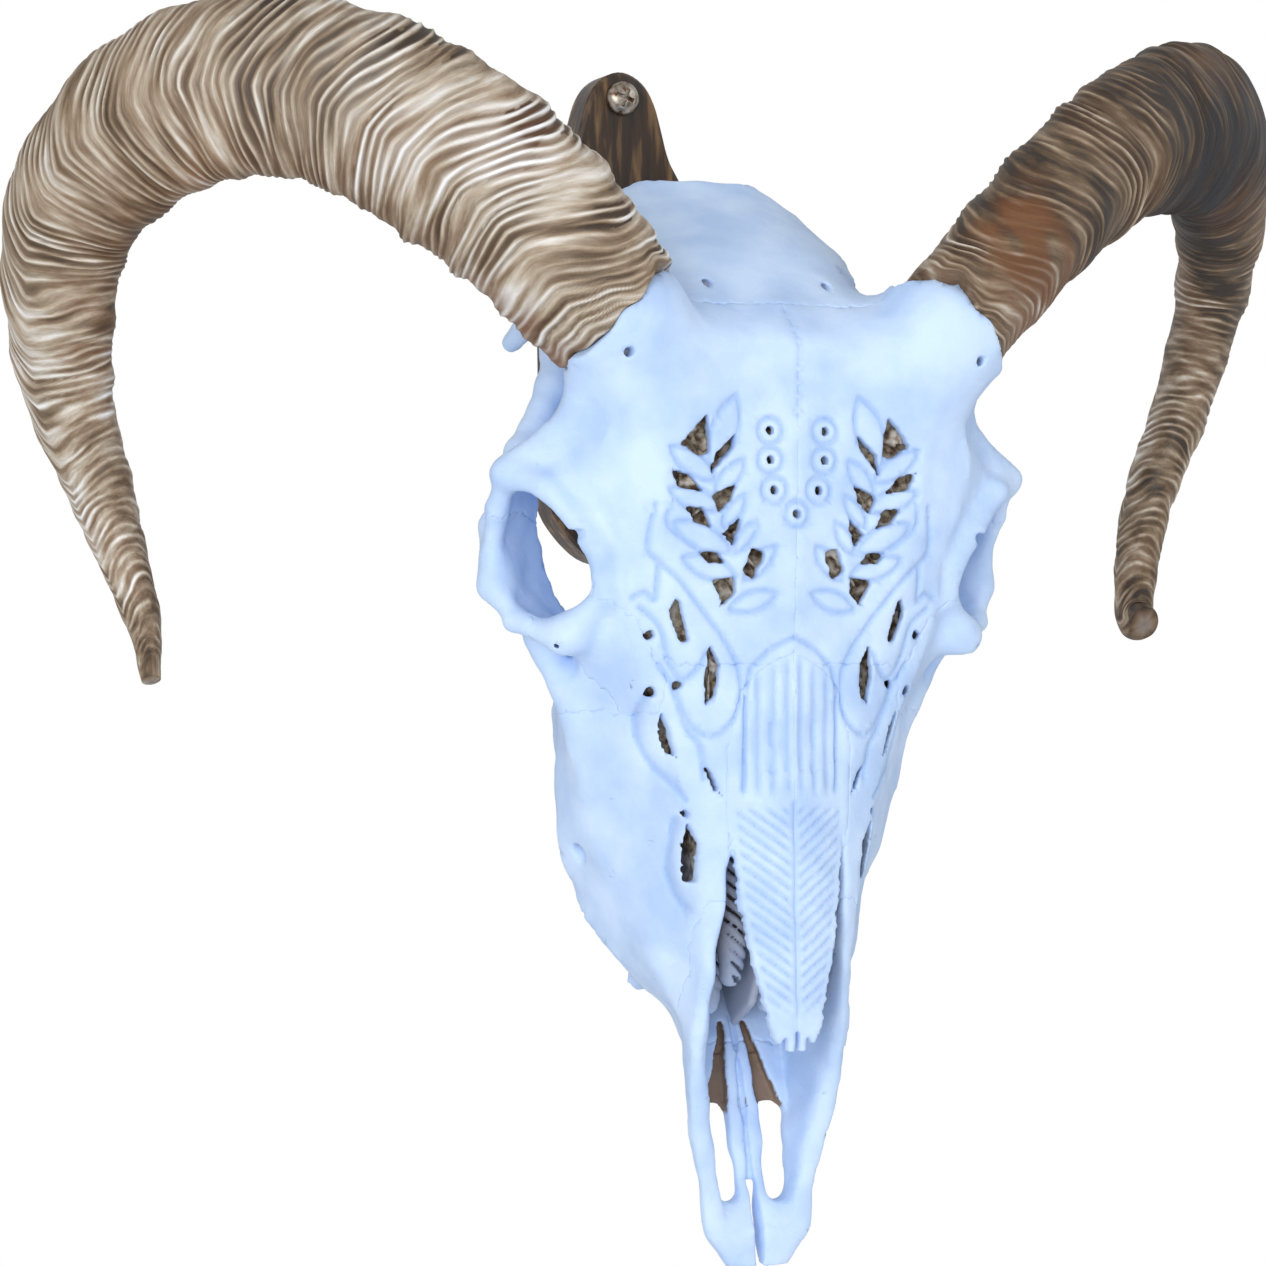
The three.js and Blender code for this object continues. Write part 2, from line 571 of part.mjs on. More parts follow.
const HORN_BROAD = [13.2, 13.6, 13.6, 13.4, 13.2, 12.8, 12.6, 12.4, 12.2, 11.4, 10.2, 9.2, 8.3, 7.4, 6, 4.6, 2.8];
// The two horns grew unlike: girth of each against the common sections.
const GIRTH_LEFT = [1, 0.97, 0.95, 0.95, 0.95, 0.97, 1.02, 1.07, 1.07, 1, 0.94, 0.9, 0.9, 0.92, 1, 1.15, 1.4];
const GIRTH_RIGHT = [1, 1.02, 1.03, 1.03, 1.02, 1, 1.01, 1.02, 1.03, 1.04, 1.04, 1.05, 1.04, 1.03, 1, 0.95, 0.8];
const HORN_TURN = [138, 136, 134, 132, 130, 124, 114, 110, 108, 106, 104, 102, 98, 94, 90, 90, 90];
const HORN_RINGS = 46;
const HORN_SIDES = 12;
const RIDGE = 0.55;

function hornSolid(line, girth, mirror) {
  const curve = new THREE.CatmullRomCurve3(line.map((p) => new THREE.Vector3(...p)), false, "centripetal");
  const points = [];
  const faces = [];
  const along = curve.getSpacedPoints(HORN_RINGS);
  let across = new THREE.Vector3(0, 1, 0);
  const sample = (table, t) => {
    const s = t * (table.length - 1);
    const i = min(Math.floor(s), table.length - 2);
    return lerp(table[i], table[i + 1], s - i);
  };
  for (let i = 0; i <= HORN_RINGS; i++) {
    const t = i / HORN_RINGS;
    const tangent = curve.getTangentAt(t);
    across = across.clone().addScaledVector(tangent, -across.dot(tangent)).normalize();
    const side = new THREE.Vector3().crossVectors(tangent, across);
    const turn = (sample(HORN_TURN, t) * PI) / 180;
    const deep = across.clone().multiplyScalar(cos(turn)).addScaledVector(side, sin(turn));
    const broad = new THREE.Vector3().crossVectors(tangent, deep);
    const size = sample(girth, t);
    const ridge = t < 0.9 && i > 0 ? (i % 2 ? RIDGE : -RIDGE) * (1 - t) : 0;
    for (let j = 0; j < HORN_SIDES; j++) {
      const angle = (2 * PI * j) / HORN_SIDES;
      const c = cos(angle);
      const s = sin(angle);
      const p = along[i].clone()
        .addScaledVector(deep, (sample(HORN_DEEP, t) * size + ridge) * Math.sign(c) * abs(c) ** 0.9)
        .addScaledVector(broad, (sample(HORN_BROAD, t) * size + ridge) * Math.sign(s) * abs(s) ** 0.9);
      points.push([mirror * p.x, p.y, p.z]);
    }
  }
  const ends = [along[0], along[HORN_RINGS]].map((p) => points.push([mirror * p.x, p.y, p.z]) - 1);
  for (let j = 0; j < HORN_SIDES; j++) {
    const k = (j + 1) % HORN_SIDES;
    const top = HORN_RINGS * HORN_SIDES;
    faces.push([ends[0], k, j], [ends[1], top + j, top + k]);
    for (let i = 0; i < HORN_RINGS; i++) {
      const a = i * HORN_SIDES;
      const b = a + HORN_SIDES;
      faces.push([a + j, a + k, b + k], [a + j, b + k, b + j]);
    }
  }
  if (mirror < 0) faces.forEach((f) => f.reverse());
  return solidOfSurface({ points, faces });
}

// Bony core of the horn as a tapering plug along its first stretch.
const CORE_LENGTH = 46;
const CORE_BASE = [13, 9];
function coreSolid(line, mirror, grow) {
  const a = new THREE.Vector3(...line[0]);
  const b = new THREE.Vector3(...line[1]);
  const way = b.clone().sub(a).normalize();
  const geometry = new THREE.CylinderGeometry(CORE_BASE[1] + grow, CORE_BASE[0] + grow, CORE_LENGTH + grow, 16);
  geometry.translate(0, (CORE_LENGTH + grow) / 2 - 12, 0);
  geometry.applyQuaternion(new THREE.Quaternion().setFromUnitVectors(new THREE.Vector3(0, 1, 0), way));
  geometry.translate(...a.toArray());
  if (mirror < 0) {
    geometry.scale(-1, 1, 1);
    const index = geometry.index.array;
    for (let i = 0; i < index.length; i += 3) [index[i + 1], index[i + 2]] = [index[i + 2], index[i + 1]];
  }
  return solidOf(geometry);
}
// Everything past the base of the horn, for the bone to stop at.
function beyondHorn(line, mirror) {
  const a = new THREE.Vector3(...line[0]);
  const way = new THREE.Vector3(...line[1]).sub(a).normalize();
  const geometry = new THREE.BoxGeometry(70, 80, 70);
  geometry.translate(0, 40 - GAP, 0);
  geometry.applyQuaternion(new THREE.Quaternion().setFromUnitVectors(new THREE.Vector3(0, 1, 0), way));
  geometry.translate(...a.toArray());
  if (mirror < 0) {
    geometry.scale(-1, 1, 1);
    const index = geometry.index.array;
    for (let i = 0; i < index.length; i += 3) [index[i + 1], index[i + 2]] = [index[i + 2], index[i + 1]];
  }
  return solidOf(geometry);
}

// Wall board, the peg that carries the skull by the great hole, and the wall screw.
const BOARD_FRONT = 87.6;
const BOARD = [
  [0, 313.6], [6, 311], [9.6, 306], [11.8, 298], [13.8, 290], [17, 284.5], [20.4, 279], [21.6, 270], [20.8, 252],
  [20, 235], [20.2, 215], [21.8, 204], [20.6, 193], [15, 185], [8, 179], [0, 178],
];
const PEG_Z = 264.6;
const PEG_RADIUS = 3.4;
const PEG_TIP = 38;
const PEG_SUNK = 7;
const SCREW_Z = 305.6;
const SCREW_HEAD = 4.6;
const SCREW_SHANK = 2.1;

function alongY(profile, z, sides) {
  const geometry = new THREE.LatheGeometry(profile.map(([r, y]) => new THREE.Vector2(r, y)), sides);
  geometry.translate(0, 0, z);
  return solidOf(geometry);
}
const board = prism([...BOARD, ...BOARD.slice(1, -1).reverse().map(([x, z]) => [-x, z])], "front",
  -WALL_Y, -BOARD_FRONT);
const peg = (grow) => alongY([
  [0, PEG_TIP - grow], [PEG_RADIUS + grow - 1, PEG_TIP - grow], [PEG_RADIUS + grow, PEG_TIP + 1 - grow],
  [PEG_RADIUS + grow, BOARD_FRONT + PEG_SUNK + grow], [0, BOARD_FRONT + PEG_SUNK + grow],
], PEG_Z, 20);
const screwHole = alongY([
  [0, BOARD_FRONT - 1], [SCREW_SHANK + GAP, BOARD_FRONT - 1], [SCREW_SHANK + GAP, WALL_Y + 1], [0, WALL_Y + 1],
], SCREW_Z, 20);
const head = BOARD_FRONT - GAP;
const screw = alongY([
  [0, head - 2.8], [1.8, head - 2.6], [3.4, head - 1.9], [SCREW_HEAD, head - 0.6], [SCREW_HEAD, head],
  [SCREW_SHANK, head], [SCREW_SHANK, WALL_Y], [0, WALL_Y],
], SCREW_Z, 20);

// Skull as one solid, then parted into its bones along the seams.
const whole = surfaceOf(skull, [-35.5 * CELL, -45, -4.6], [35.5 * CELL, 96, 284], CELL);
let rest = largest(solidOfSurface(thin(whole, SKULL_TRIANGLES)));
for (const [line, mirror] of [[HORN_LEFT, 1], [HORN_RIGHT, -1]]) {
  rest = rest.subtract(beyondHorn(line, mirror)).add(coreSolid(line, mirror, 0));
}
rest = rest.subtract(peg(GAP));

const made = new Map();
// Parts one bone from the rest: the prisms share the seam, with a gap along it.
function part(name, pieces) {
  const shape = (grow) => {
    const [first, ...more] = pieces.map((p) => prism(p.outline, p.view, p.from - grow, p.to + grow, grow));
    return more.reduce((a, b) => a.intersect(b), first);
  };
  made.set(name, largest(rest.intersect(shape(-GAP / 2))));
  rest = rest.subtract(shape(GAP / 2));
}
// A bone of each side: outline in front view with x away from the midline.
function pair(name, pieces) {
  for (const [side, m] of [["left", 1], ["right", -1]]) {
    part(name + "_" + side, pieces.map((p) => {
      if (p.view === "front") return { ...p, outline: p.outline.map(([x, z]) => [m * x, z]) };
      return m > 0 ? p : { ...p, from: -p.to, to: -p.from };
    }));
  }
}
pair("nasal", [
  { view: "front", from: 24.4, to: 50,
    outline: [[0, 50], [0, 156], [7, 152], [13, 146], [16.4, 132], [16.4, 116], [15.4, 107], [14, 94],
      [12, 80], [9.4, 69], [5, 50]] },
]);
pair("lacrimal", [
  { view: "front", from: 0, to: 40,
    outline: [[33, 141], [31, 150], [37, 158], [45, 168], [58, 168], [63, 158], [52, 146], [44, 140]] },
  { view: "side", from: 0, to: 90, outline: [[-60, 130], [-60, 175], [-7, 175], [-9, 150], [-14, 130]] },
]);
pair("zygomatic", [
  { view: "side", from: 38, to: 90,
    outline: [[-20, 140], [-20, 176], [-6, 190], [2, 190], [14, 187.5], [24, 200], [34, 196], [30, 150], [14, 141]] },
]);
pair("premaxilla", [
  { view: "side", from: 0, to: 40,
    outline: [[-40, -8], [40, -8], [40, 44], [14, 47], [6, 58], [-8, 66], [-18, 84], [-24, 94], [-40, 94]] },
]);
pair("frontal", [
  { view: "side", from: 0, to: 130,
    outline: [[-70, 150], [-26, 152], [-18, 157], [-2, 158], [-1, 176], [2, 190], [14, 187.5], [20, 199],
      [15, 210], [4, 222], [-22, 240.5], [-70, 330]] },
]);
pair("maxilla", [
  { view: "side", from: 0, to: 90,
    outline: [[-70, 20], [60, 20], [66, 134], [56, 147], [38, 149], [10, 152], [-6, 158], [-70, 158]] },
]);
made.set("cranium", largest(rest));

// Keel in the floor of the nose.
const keel = prism([[8, 60], [-4, 66], [-16, 84], [-18, 100], [-12, 122], [10, 122], [24, 106], [21, 80]],
  "side", -1, 1);
let vomer = keel;
for (const solid of made.values()) {
  for (const step of [[0, 0, 0], [GAP, 0, 0], [-GAP, 0, 0], [0, -GAP, 0], [0, 0, GAP], [0, 0, -GAP]]) {
    vomer = vomer.subtract(solid.translate(step));
  }
}
made.set("vomer", largest(vomer));

made.set("horn_left", largest(hornSolid(HORN_LEFT, GIRTH_LEFT, 1).subtract(coreSolid(HORN_LEFT, 1, GAP))));
made.set("horn_right", largest(hornSolid(HORN_RIGHT, GIRTH_RIGHT, -1).subtract(coreSolid(HORN_RIGHT, -1, GAP))));
made.set("hanger_board", largest(board.subtract(screwHole).subtract(peg(GAP))));
made.set("hanger_peg", peg(0));
made.set("hanger_screw", screw);

const looks = { horn_left: horn, horn_right: horn, hanger_board: wood, hanger_peg: wood, hanger_screw: steel };
const placed = new THREE.Group();
placed.position.set(0, -WALL_Y, -WALL_Z);
for (const [name, solid] of made) {
  const mesh = new THREE.Mesh(geometryOf(solid), new THREE.MeshStandardMaterial(looks[name] ?? bone));
  mesh.name = name;
  placed.add(mesh);
}
const model = new THREE.Group();
model.add(placed);
export default model;
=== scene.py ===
"""Carved ram skull on its small wall board, as an add-on that builds the model and its studio."""
import math
from functools import reduce

import bmesh
import bpy
import numpy as np
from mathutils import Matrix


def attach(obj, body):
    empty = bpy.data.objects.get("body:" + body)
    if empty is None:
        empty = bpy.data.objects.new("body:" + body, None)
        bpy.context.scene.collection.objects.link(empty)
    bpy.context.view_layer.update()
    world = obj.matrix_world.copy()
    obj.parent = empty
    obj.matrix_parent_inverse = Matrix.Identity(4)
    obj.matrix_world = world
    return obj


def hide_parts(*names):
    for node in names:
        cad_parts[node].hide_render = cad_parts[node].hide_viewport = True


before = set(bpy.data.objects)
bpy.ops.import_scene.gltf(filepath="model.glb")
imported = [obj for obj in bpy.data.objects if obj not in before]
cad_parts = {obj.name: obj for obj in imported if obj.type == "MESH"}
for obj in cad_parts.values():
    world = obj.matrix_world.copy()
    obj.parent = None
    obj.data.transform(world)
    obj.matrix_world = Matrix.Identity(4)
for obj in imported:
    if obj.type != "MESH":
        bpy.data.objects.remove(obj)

import openvdb as vdb
from bpy.props import FloatProperty, IntProperty, PointerProperty
from mathutils import Matrix, Vector

bl_info = {
    "name": "Carved Ram Skull",
    "author": "Object Factory",
    "version": (1, 0, 0),
    "blender": (4, 5, 0),
    "location": "View3D > Sidebar > Skull",
    "description": "Builds a carved ram skull with horns on a wall board, and a studio for it",
    "category": "Add Mesh",
}

# The shapes are written around the tip of the nose, in mm. This moves them to the wall frame.
SHIFT = np.array([0.0, -100.0, -240.0])
MM = 0.001
# Lean of the palate from upright.
LEAN = math.radians(21)
# The tip of the nose has grown a little towards the animal's left.
SIDEWAYS = 3
SIDEWAYS_BELOW = 90
# Half width of a seam between two bones. Below zero they knit into one another.
SEAM = -0.3
# Clear gap round the peg, under the horns and beside the keel of the nose.
GAP = 0.3
# Corners of the sampled box, which holds the animal's left half.
LOW = (-1.5, -47.0, -4.0)
HIGH = (78.0, 95.0, 282.0)

# Outline of the skull across z, from the dorsal midline round the side to the palate: [x, y].
STATIONS = [
    (0, [[0, -2.5], [4, -3], [7.5, -2.2], [8.5, -0.5], [8, 1], [6.5, 2.2], [3, 2.5], [0, 2.5]]),
    (3, [[0, -3], [7, -3.4], [9.8, -2.6], [10.6, -0.5], [10, 1.2], [8, 3], [4, 3.5], [0, 3.5]]),
    (9, [[0, -4], [11, -4.2], [13.6, -3.4], [14, -1.2], [13, 1], [11, 3.4], [6, 4], [0, 3.6]]),
    (20, [[0, -4], [13.4, -4.8], [15.2, -4.2], [15.4, -2], [14, 1.2], [11.6, 3.8], [6, 4.2], [0, 3.6]]),
    (40, [[0, -8], [17.8, -10.4], [19.4, -9.6], [19.4, -6], [16, 2], [13.4, 7.8], [7, 8.4], [0, 7.2]]),
    (57, [[0, -14], [19.2, -16], [21.2, -14.6], [20.4, -8], [16.8, 2.2], [12.6, 14.4], [8, 16], [0, 13.8]]),
    (64, [[0, -16], [18.6, -18.6], [20.8, -16.8], [21.8, -8], [17.8, 6], [14.6, 19.2], [9, 20.6], [0, 17.4]]),
    (70, [[0, -18], [18, -20.6], [20.6, -18.4], [23.4, -5], [22.4, 12], [19.2, 26.2], [11, 27], [0, 22.2]]),
    (78, [[0, -21], [16.6, -23.4], [20, -20.4], [26.6, -1], [29.8, 15.6], [24.8, 29.6], [13, 30.4],
        [0, 25.4]]),
    (86, [[0, -23], [16, -25.2], [20.4, -21.6], [30.2, 0], [34.8, 21], [27.4, 32.8], [15, 33.6], [0, 28.4]]),
    (95, [[0, -24.6], [15.6, -26.6], [21.2, -22.4], [34.4, 4], [37.8, 24.8], [29.4, 36.6], [17, 37],
        [0, 31.4]]),
    (108, [[0, -27], [15.8, -27.4], [23.8, -22.8], [40, 3.4], [43, 21], [31.8, 41.4], [19, 42], [0, 36.2]]),
    (116, [[0, -31.4], [15.4, -27.6], [25.2, -22.8], [42, 3], [43.8, 20.4], [32.2, 44.4], [20, 45],
        [0, 39.4]]),
    (124, [[0, -31.8], [16.2, -28], [27, -22.8], [44, 2.4], [43.8, 20.4], [33, 47.4], [21, 48], [0, 42.4]]),
    (138, [[0, -31.4], [18.6, -28], [31.4, -22.4], [45.4, 2.2], [42.2, 22], [33.6, 51.4], [22, 52], [0, 46]]),
    (148, [[0, -31.4], [22, -28.2], [36, -22.6], [47, -4], [43, 18], [33, 40], [21, 46], [0, 44]]),
    (156, [[0, -31.6], [25, -28.6], [39.4, -23.4], [48, -12], [39.4, 4], [28, 24], [20, 34], [0, 36]]),
    (166, [[0, -32], [28, -29.4], [41, -25], [45.6, -18.2], [34.6, -5], [24, 12], [19, 28], [0, 32]]),
    (180, [[0, -33], [31, -31], [42.4, -27.2], [47, -21.2], [34.4, -8.6], [24, 10], [20, 30], [0, 36]]),
    (194, [[0, -33.6], [34, -32], [48, -27.8], [54, -20.8], [37.4, -6.6], [25, 12], [22, 34], [0, 40]]),
    (204, [[0, -33.8], [35, -32.4], [48.8, -27.8], [54.4, -18.6], [42.6, -2.6], [28, 14], [25, 38], [0, 44]]),
    (213, [[0, -34], [35, -32.6], [45.6, -28.4], [50.2, -17.8], [45, -1.6], [31, 14], [28, 42], [0, 47]]),
    (223, [[0, -34.2], [34, -32.8], [44.4, -28.6], [50.6, -17.6], [42.6, 1.4], [33, 14], [31, 44], [0, 51]]),
    (232, [[0, -33.6], [27, -31.6], [37, -27], [42.4, -14], [39.4, 2], [34.6, 16], [32, 44], [0, 54]]),
    (239, [[0, -26], [21, -24.6], [29, -19], [34, -6], [35.4, 10], [35, 24], [30, 46], [0, 56]]),
    (247, [[0, -15], [17, -13.6], [26, -8], [32.4, 2], [35, 16], [34, 30], [27, 48], [0, 58]]),
    (256, [[0, -3.4], [14.6, -2.2], [23.8, 2.4], [31.2, 10], [34.6, 21], [32.6, 34], [24, 50], [0, 58]]),
    (266, [[0, 13], [12, 14], [20.4, 18], [26.8, 24], [29.6, 31.6], [26.6, 41], [17, 50], [0, 53]]),
    (273, [[0, 25.6], [12, 26.4], [19, 29], [22.4, 33], [22.6, 36.6], [18, 41], [10, 43.6], [0, 44]]),
    (277, [[0, 31], [9, 31.4], [14, 32.4], [16, 34], [15.4, 36], [12, 37.6], [6, 38.4], [0, 38.6]]),
]
# Space inside the nose: z, half width in front, half width at the floor, depth of the floor.
NOSE = [
    (12, 9, 8, -3.8), (22, 11.6, 10, 0.6), (40, 16, 12, 3.4), (57, 17.4, 12.6, 8), (70, 17, 15, 14.6),
    (86, 16, 17, 22), (102, 15, 18, 26), (114, 12, 16, 28), (122, 6, 9, 24),
]
# Nasal bones: z, half width, front of the midline.
NASALS = [
    (57, 3.4, -32.4), (62, 6, -33), (70, 8.4, -33.2), (82, 11, -32.8), (94, 13, -32.2), (107, 14.4, -31.8),
    (118, 15.2, -31.6), (126, 15.6, -31.6),
]
NASAL_THICK = 3.2
NASAL_RADIUS = 25
# Points along the rim of the eye socket, the strap behind it, the brow and the cheek arch.
RIM = [(67.5, -11, 198.5), (67.8, -4, 190), (66.8, 2, 180), (66, 2, 171), (63, -3, 163), (55, -14, 158.5)]
STRAP = [(57, 6, 203), (54.2, 12, 192), (52.2, 14, 181), (50.2, 13, 171), (44, 8, 160), (40, 0, 156)]
BROW = [
    (67.5, -11, 198.5), (61, -19, 195.5), (53, -22.5, 186), (48, -23, 178), (46, -21, 169),
    (55, -14, 158.5),
]
ARCH = [(65, 4, 172), (62.4, 11, 186), (53, 19, 205), (41.6, 27, 222), (37.4, 33, 236), (34, 38, 245)]
# Plate that closes the socket towards the horn.
BROW_BACK = (50.6, -16, 213)
ARCH_THICK = (4.4, 4, 3.8, 4.2, 4.6, 5)
# Cheek teeth: length along the row and breadth.
TEETH = ((7, 6), (9, 8.4), (9.4, 10.4), (13, 12.4), (16, 13.4), (18.6, 12.6))
ROW_START = np.array([73, 19.4])
ROW_END = np.array([146, 33])
# Height of a crown below the palate and of its root above it.
CROWN = 5
ROOT = 6

# Horn centre lines and their sections: half depth, half breadth and turn, from base to tip.
HORN_RIGHT = [
    (45.4, -25.8, 237.3), (73, -22.2, 266.2), (108.1, -5.8, 289.4), (140.3, 17.2, 290.3),
    (161.8, 45.8, 266.3), (160.6, 63, 227.7), (150, 66.7, 195.9), (141.6, 57.6, 164.1),
    (141.2, 49.3, 147.9),
]
HORN_LEFT = [
    (45.3, -25.8, 237.2), (73.4, -22, 266), (107.6, -5.9, 288.4), (141.8, 17.2, 292.6), (161, 45.6, 265.8),
    (160.8, 63, 228.4), (149.9, 66.8, 194.8), (141.3, 57.9, 166.6), (139.8, 49.2, 162.4),
]
HORN_DEEP = (20, 21.6, 23, 23.4, 23, 22.2, 22, 21.6, 20.2, 18.6, 17.6, 15.8, 13.8, 11.2, 8.3, 6, 3.4)
HORN_BROAD = (13.2, 13.6, 13.6, 13.4, 13.2, 12.8, 12.6, 12.4, 12.2, 11.4, 10.2, 9.2, 8.3, 7.4, 6, 4.6, 2.8)
# The two horns grew unlike: girth of each against the common sections.
GIRTH_LEFT = (1, 0.97, 0.95, 0.95, 0.95, 0.97, 1.02, 1.07, 1.07, 1, 0.94, 0.9, 0.9, 0.92, 1, 1.15, 1.4)
GIRTH_RIGHT = (1, 1.02, 1.03, 1.03, 1.02, 1, 1.01, 1.02, 1.03, 1.04, 1.04, 1.05, 1.04, 1.03, 1, 0.95, 0.8)
MOST_WRINKLES = 400
HORN_TURN = (138, 136, 134, 132, 130, 124, 114, 110, 108, 106, 104, 102, 98, 94, 90, 90, 90)

# Board: depth of its two faces, and its outline from the top down: [x, z].
BOARD_FRONT = 87.6
BOARD_BACK = 100
BOARD = [
    (0, 313.6), (6, 311), (9.6, 306), (11.8, 298), (13.8, 290), (17, 284.5), (20.4, 279), (21.6, 270),
    (20.8, 252), (20, 235), (20.2, 215), (21.8, 204), (20.6, 193), (15, 185), (8, 179), (0, 178),
]
PEG_Z = 264.6
PEG_RADIUS = 3.4
SCREW_Z = 305.6
SCREW_HEAD = 4.6
# Length, depth and width of one bar of the cross in the screw's head, in metres.
CROSS_BAR = (0.0052, 0.0030, 0.0011)

# Carving on one half of the face, in the front view: [x, z].
LINE_WIDTH = 0.62
RING_RADIUS = 3.2
DOT_RADIUS = 1.15
LEAF_BREADTH = 0.38
FLUTE_PITCH = 3.7
FLUTE_FOOT = 119
BARB_PITCH = 3.1
BARB_TOP = 117.5
# Openwork between the leaves of the spray and along the cheek, as cornered gaps.
OPENWORK = [
    [(24.1, 212.8), (22.9, 203.6), (25.8, 203), (30.4, 205.9)],
    [(16.4, 208.2), (17.2, 204.6), (22.4, 198.7), (21.4, 203.2)],
    [(32.6, 199.4), (28.2, 198.2), (24.2, 194.2), (30.7, 195.2)],
    [(15.8, 196), (16.6, 192.9), (20, 189), (21.8, 193.2)],
    [(28.9, 190.3), (24.2, 190.1), (22, 185.6), (26, 186.8)],
    [(14.1, 188.1), (14.9, 185), (16.4, 180.8), (18.6, 184)],
    [(24.8, 179.4), (20.4, 179.4), (17.8, 176.8), (23, 177)],
    [(11.4, 180.6), (7.8, 179.2), (10.7, 172.8), (13.3, 175.1)],
    [(21.4, 172.5), (15.5, 173.3), (15.1, 170), (18.1, 166.6)],
    [(30.4, 168.2), (29.2, 167.4), (26.4, 157.6), (28.6, 157.8), (31.3, 164.2)],
    [(21.2, 156.8), (18.8, 152.4), (19.2, 144.8), (21.5, 142.2), (22.2, 148.4)],
    [(31.5, 140.6), (29.4, 136), (27.8, 129.4), (29.6, 130.6), (31.3, 135.2)],
    [(21, 127), (19.4, 125.4), (17, 119.6), (18.8, 121.4)],
    [(24.6, 113), (22.2, 108), (21.8, 98.4), (24, 98.8), (25, 106)],
]
OPENWORK_ROUND = [(35.7, 159.3, 1.2), (28.1, 147, 1.1), (34.3, 145.4, 1.3), (24.9, 115.4, 0.8)]
# Leaves of the spray: foot on the stem and tip.
SPRAY_LEAVES = [
    ((22.5, 200.1), (16.3, 217.6)), ((21.1, 196.9), (33, 204.8)), ((19.7, 190.1), (33.1, 194.6)),
    ((16.8, 179.6), (31.5, 186.5)), ((15.3, 173.5), (29.1, 178)), ((21.1, 193.3), (13.8, 202)),
    ((19.1, 185.6), (13.3, 193.4)), ((16, 179.2), (10.5, 187)), ((13.1, 172.7), (5.3, 181)),
    ((16.7, 165.6), (4.6, 169.4)),
]
RINGED_DOTS = [(7.3, 209.2), (7.2, 202), (5.9, 194.7), (0, 188.9)]
# Engraved lines, each smooth through its points.
SCROLLS = [
    [(34.7, 177), (29.7, 172.6), (23.5, 165.3), (17.2, 157.2), (13.7, 149.9), (13.9, 140.9), (18.3, 135.2),
     (22.7, 135.2), (26, 139.3), (28.9, 145.8), (33, 152)],
    [(40.5, 168.2), (37.5, 169.6), (35.1, 167.6), (34.9, 172), (34.7, 177)],
    [(38.5, 166.1), (33.5, 161.3), (31, 153), (27.6, 148.3), (24.4, 150.7), (22.2, 154.8)],
    [(35.2, 144.2), (35.6, 139.2), (34.3, 132.6), (30.9, 126.1), (27.8, 122.5), (25.2, 118.8)],
    [(30.2, 148.3), (25.8, 136.8), (22.6, 131.9), (21.3, 123.8)],
    [(26.6, 114), (27.2, 105), (25.4, 96.6), (22.4, 91.4)],
    [(36.4, 191), (37.5, 180.7), (34.7, 177)],
    [(32.9, 191), (32.7, 185.5), (24.1, 179.7)],
]
NASAL_TOP = [(0, 158.8), (6.3, 155.6), (10.8, 151.1), (12, 145.8), (12.4, 121)]
SMALL_HOLES = [(15.8, 246.4, 1.2), (46.5, 227.1, 1.2)]

# Seams between the bones, as outlines in the front view [x, z] or the side view [y, z].
NASAL_SEAM = [
    (-3, 50), (-3, 156), (7, 152), (13, 146), (16.4, 132), (16.4, 116), (15.4, 107), (14, 94), (12, 80),
    (9.4, 69), (5, 50),
]
LACRIMAL_FRONT = [(33, 141), (31, 150), (37, 158), (45, 168), (58, 168), (63, 158), (52, 146), (44, 140)]
LACRIMAL_SIDE = [(-60, 130), (-60, 175), (-7, 175), (-9, 150), (-14, 130)]
ZYGOMATIC_SIDE = [
    (-20, 140), (-20, 176), (-6, 190), (2, 190), (14, 187.5), (24, 200), (34, 196), (30, 150), (14, 141),
]
PREMAXILLA_SIDE = [
    (-40, -8), (40, -8), (40, 44), (14, 47), (6, 58), (-8, 66), (-18, 84), (-24, 94), (-40, 94),
]
FRONTAL_SIDE = [
    (-70, 150), (-26, 152), (-18, 157), (-2, 158), (-1, 176), (2, 190), (14, 187.5), (20, 199), (15, 210),
    (4, 222), (-22, 240.5), (-70, 330),
]
MAXILLA_SIDE = [(-70, 20), (60, 20), (66, 134), (56, 147), (38, 149), (10, 152), (-6, 158), (-70, 158)]
VOMER_SIDE = [(8, 60), (-4, 66), (-16, 84), (-18, 100), (-12, 122), (10, 122), (24, 106), (21, 80)]


def srgb(code):
    """A hex colour as linear light."""
    out = []
    for i in (0, 2, 4):
        c = int(code[i:i + 2], 16) / 255
        out.append(c / 12.92 if c <= 0.04045 else ((c + 0.055) / 1.055) ** 2.4)
    return (*out, 1.0)


def upright(along, x, height):
    """From length along the palate, side and height over it to the upright frame."""
    s, c = math.sin(LEAN), math.cos(LEAN)
    return (x, s * along - c * height, c * along + s * height)


def unit(v):
    """v held between 0 and 1."""
    return np.clip(v, 0, 1)


def row_at(table, z):
    """Value of a table at z, straight between its rows."""
    rows = np.array(table, float)
    return [np.interp(z, rows[:, 0], rows[:, k]) for k in range(1, rows.shape[1])]


def outline_at(z):
    """Outline at z, smooth through the stations."""
    zs = [s[0] for s in STATIONS]
    i = min(max(np.searchsorted(zs, z) - 1, 0), len(zs) - 2)
    a, b, c, d = max(i - 1, 0), i, i + 1, min(i + 2, len(zs) - 1)
    t = unit((z - zs[b]) / (zs[c] - zs[b]))
    P = [np.array(STATIONS[k][1], float) for k in (a, b, c, d)]
    step = zs[c] - zs[b]
    s0 = (P[2] - P[0]) / (zs[c] - zs[a]) * step
    s1 = (P[3] - P[1]) / (zs[d] - zs[b]) * step
    u, v = t ** 3, t ** 2
    return (2 * u - 3 * v + 1) * P[1] + (u - 2 * v + t) * s0 + (3 * v - 2 * u) * P[2] + (u - v) * s1


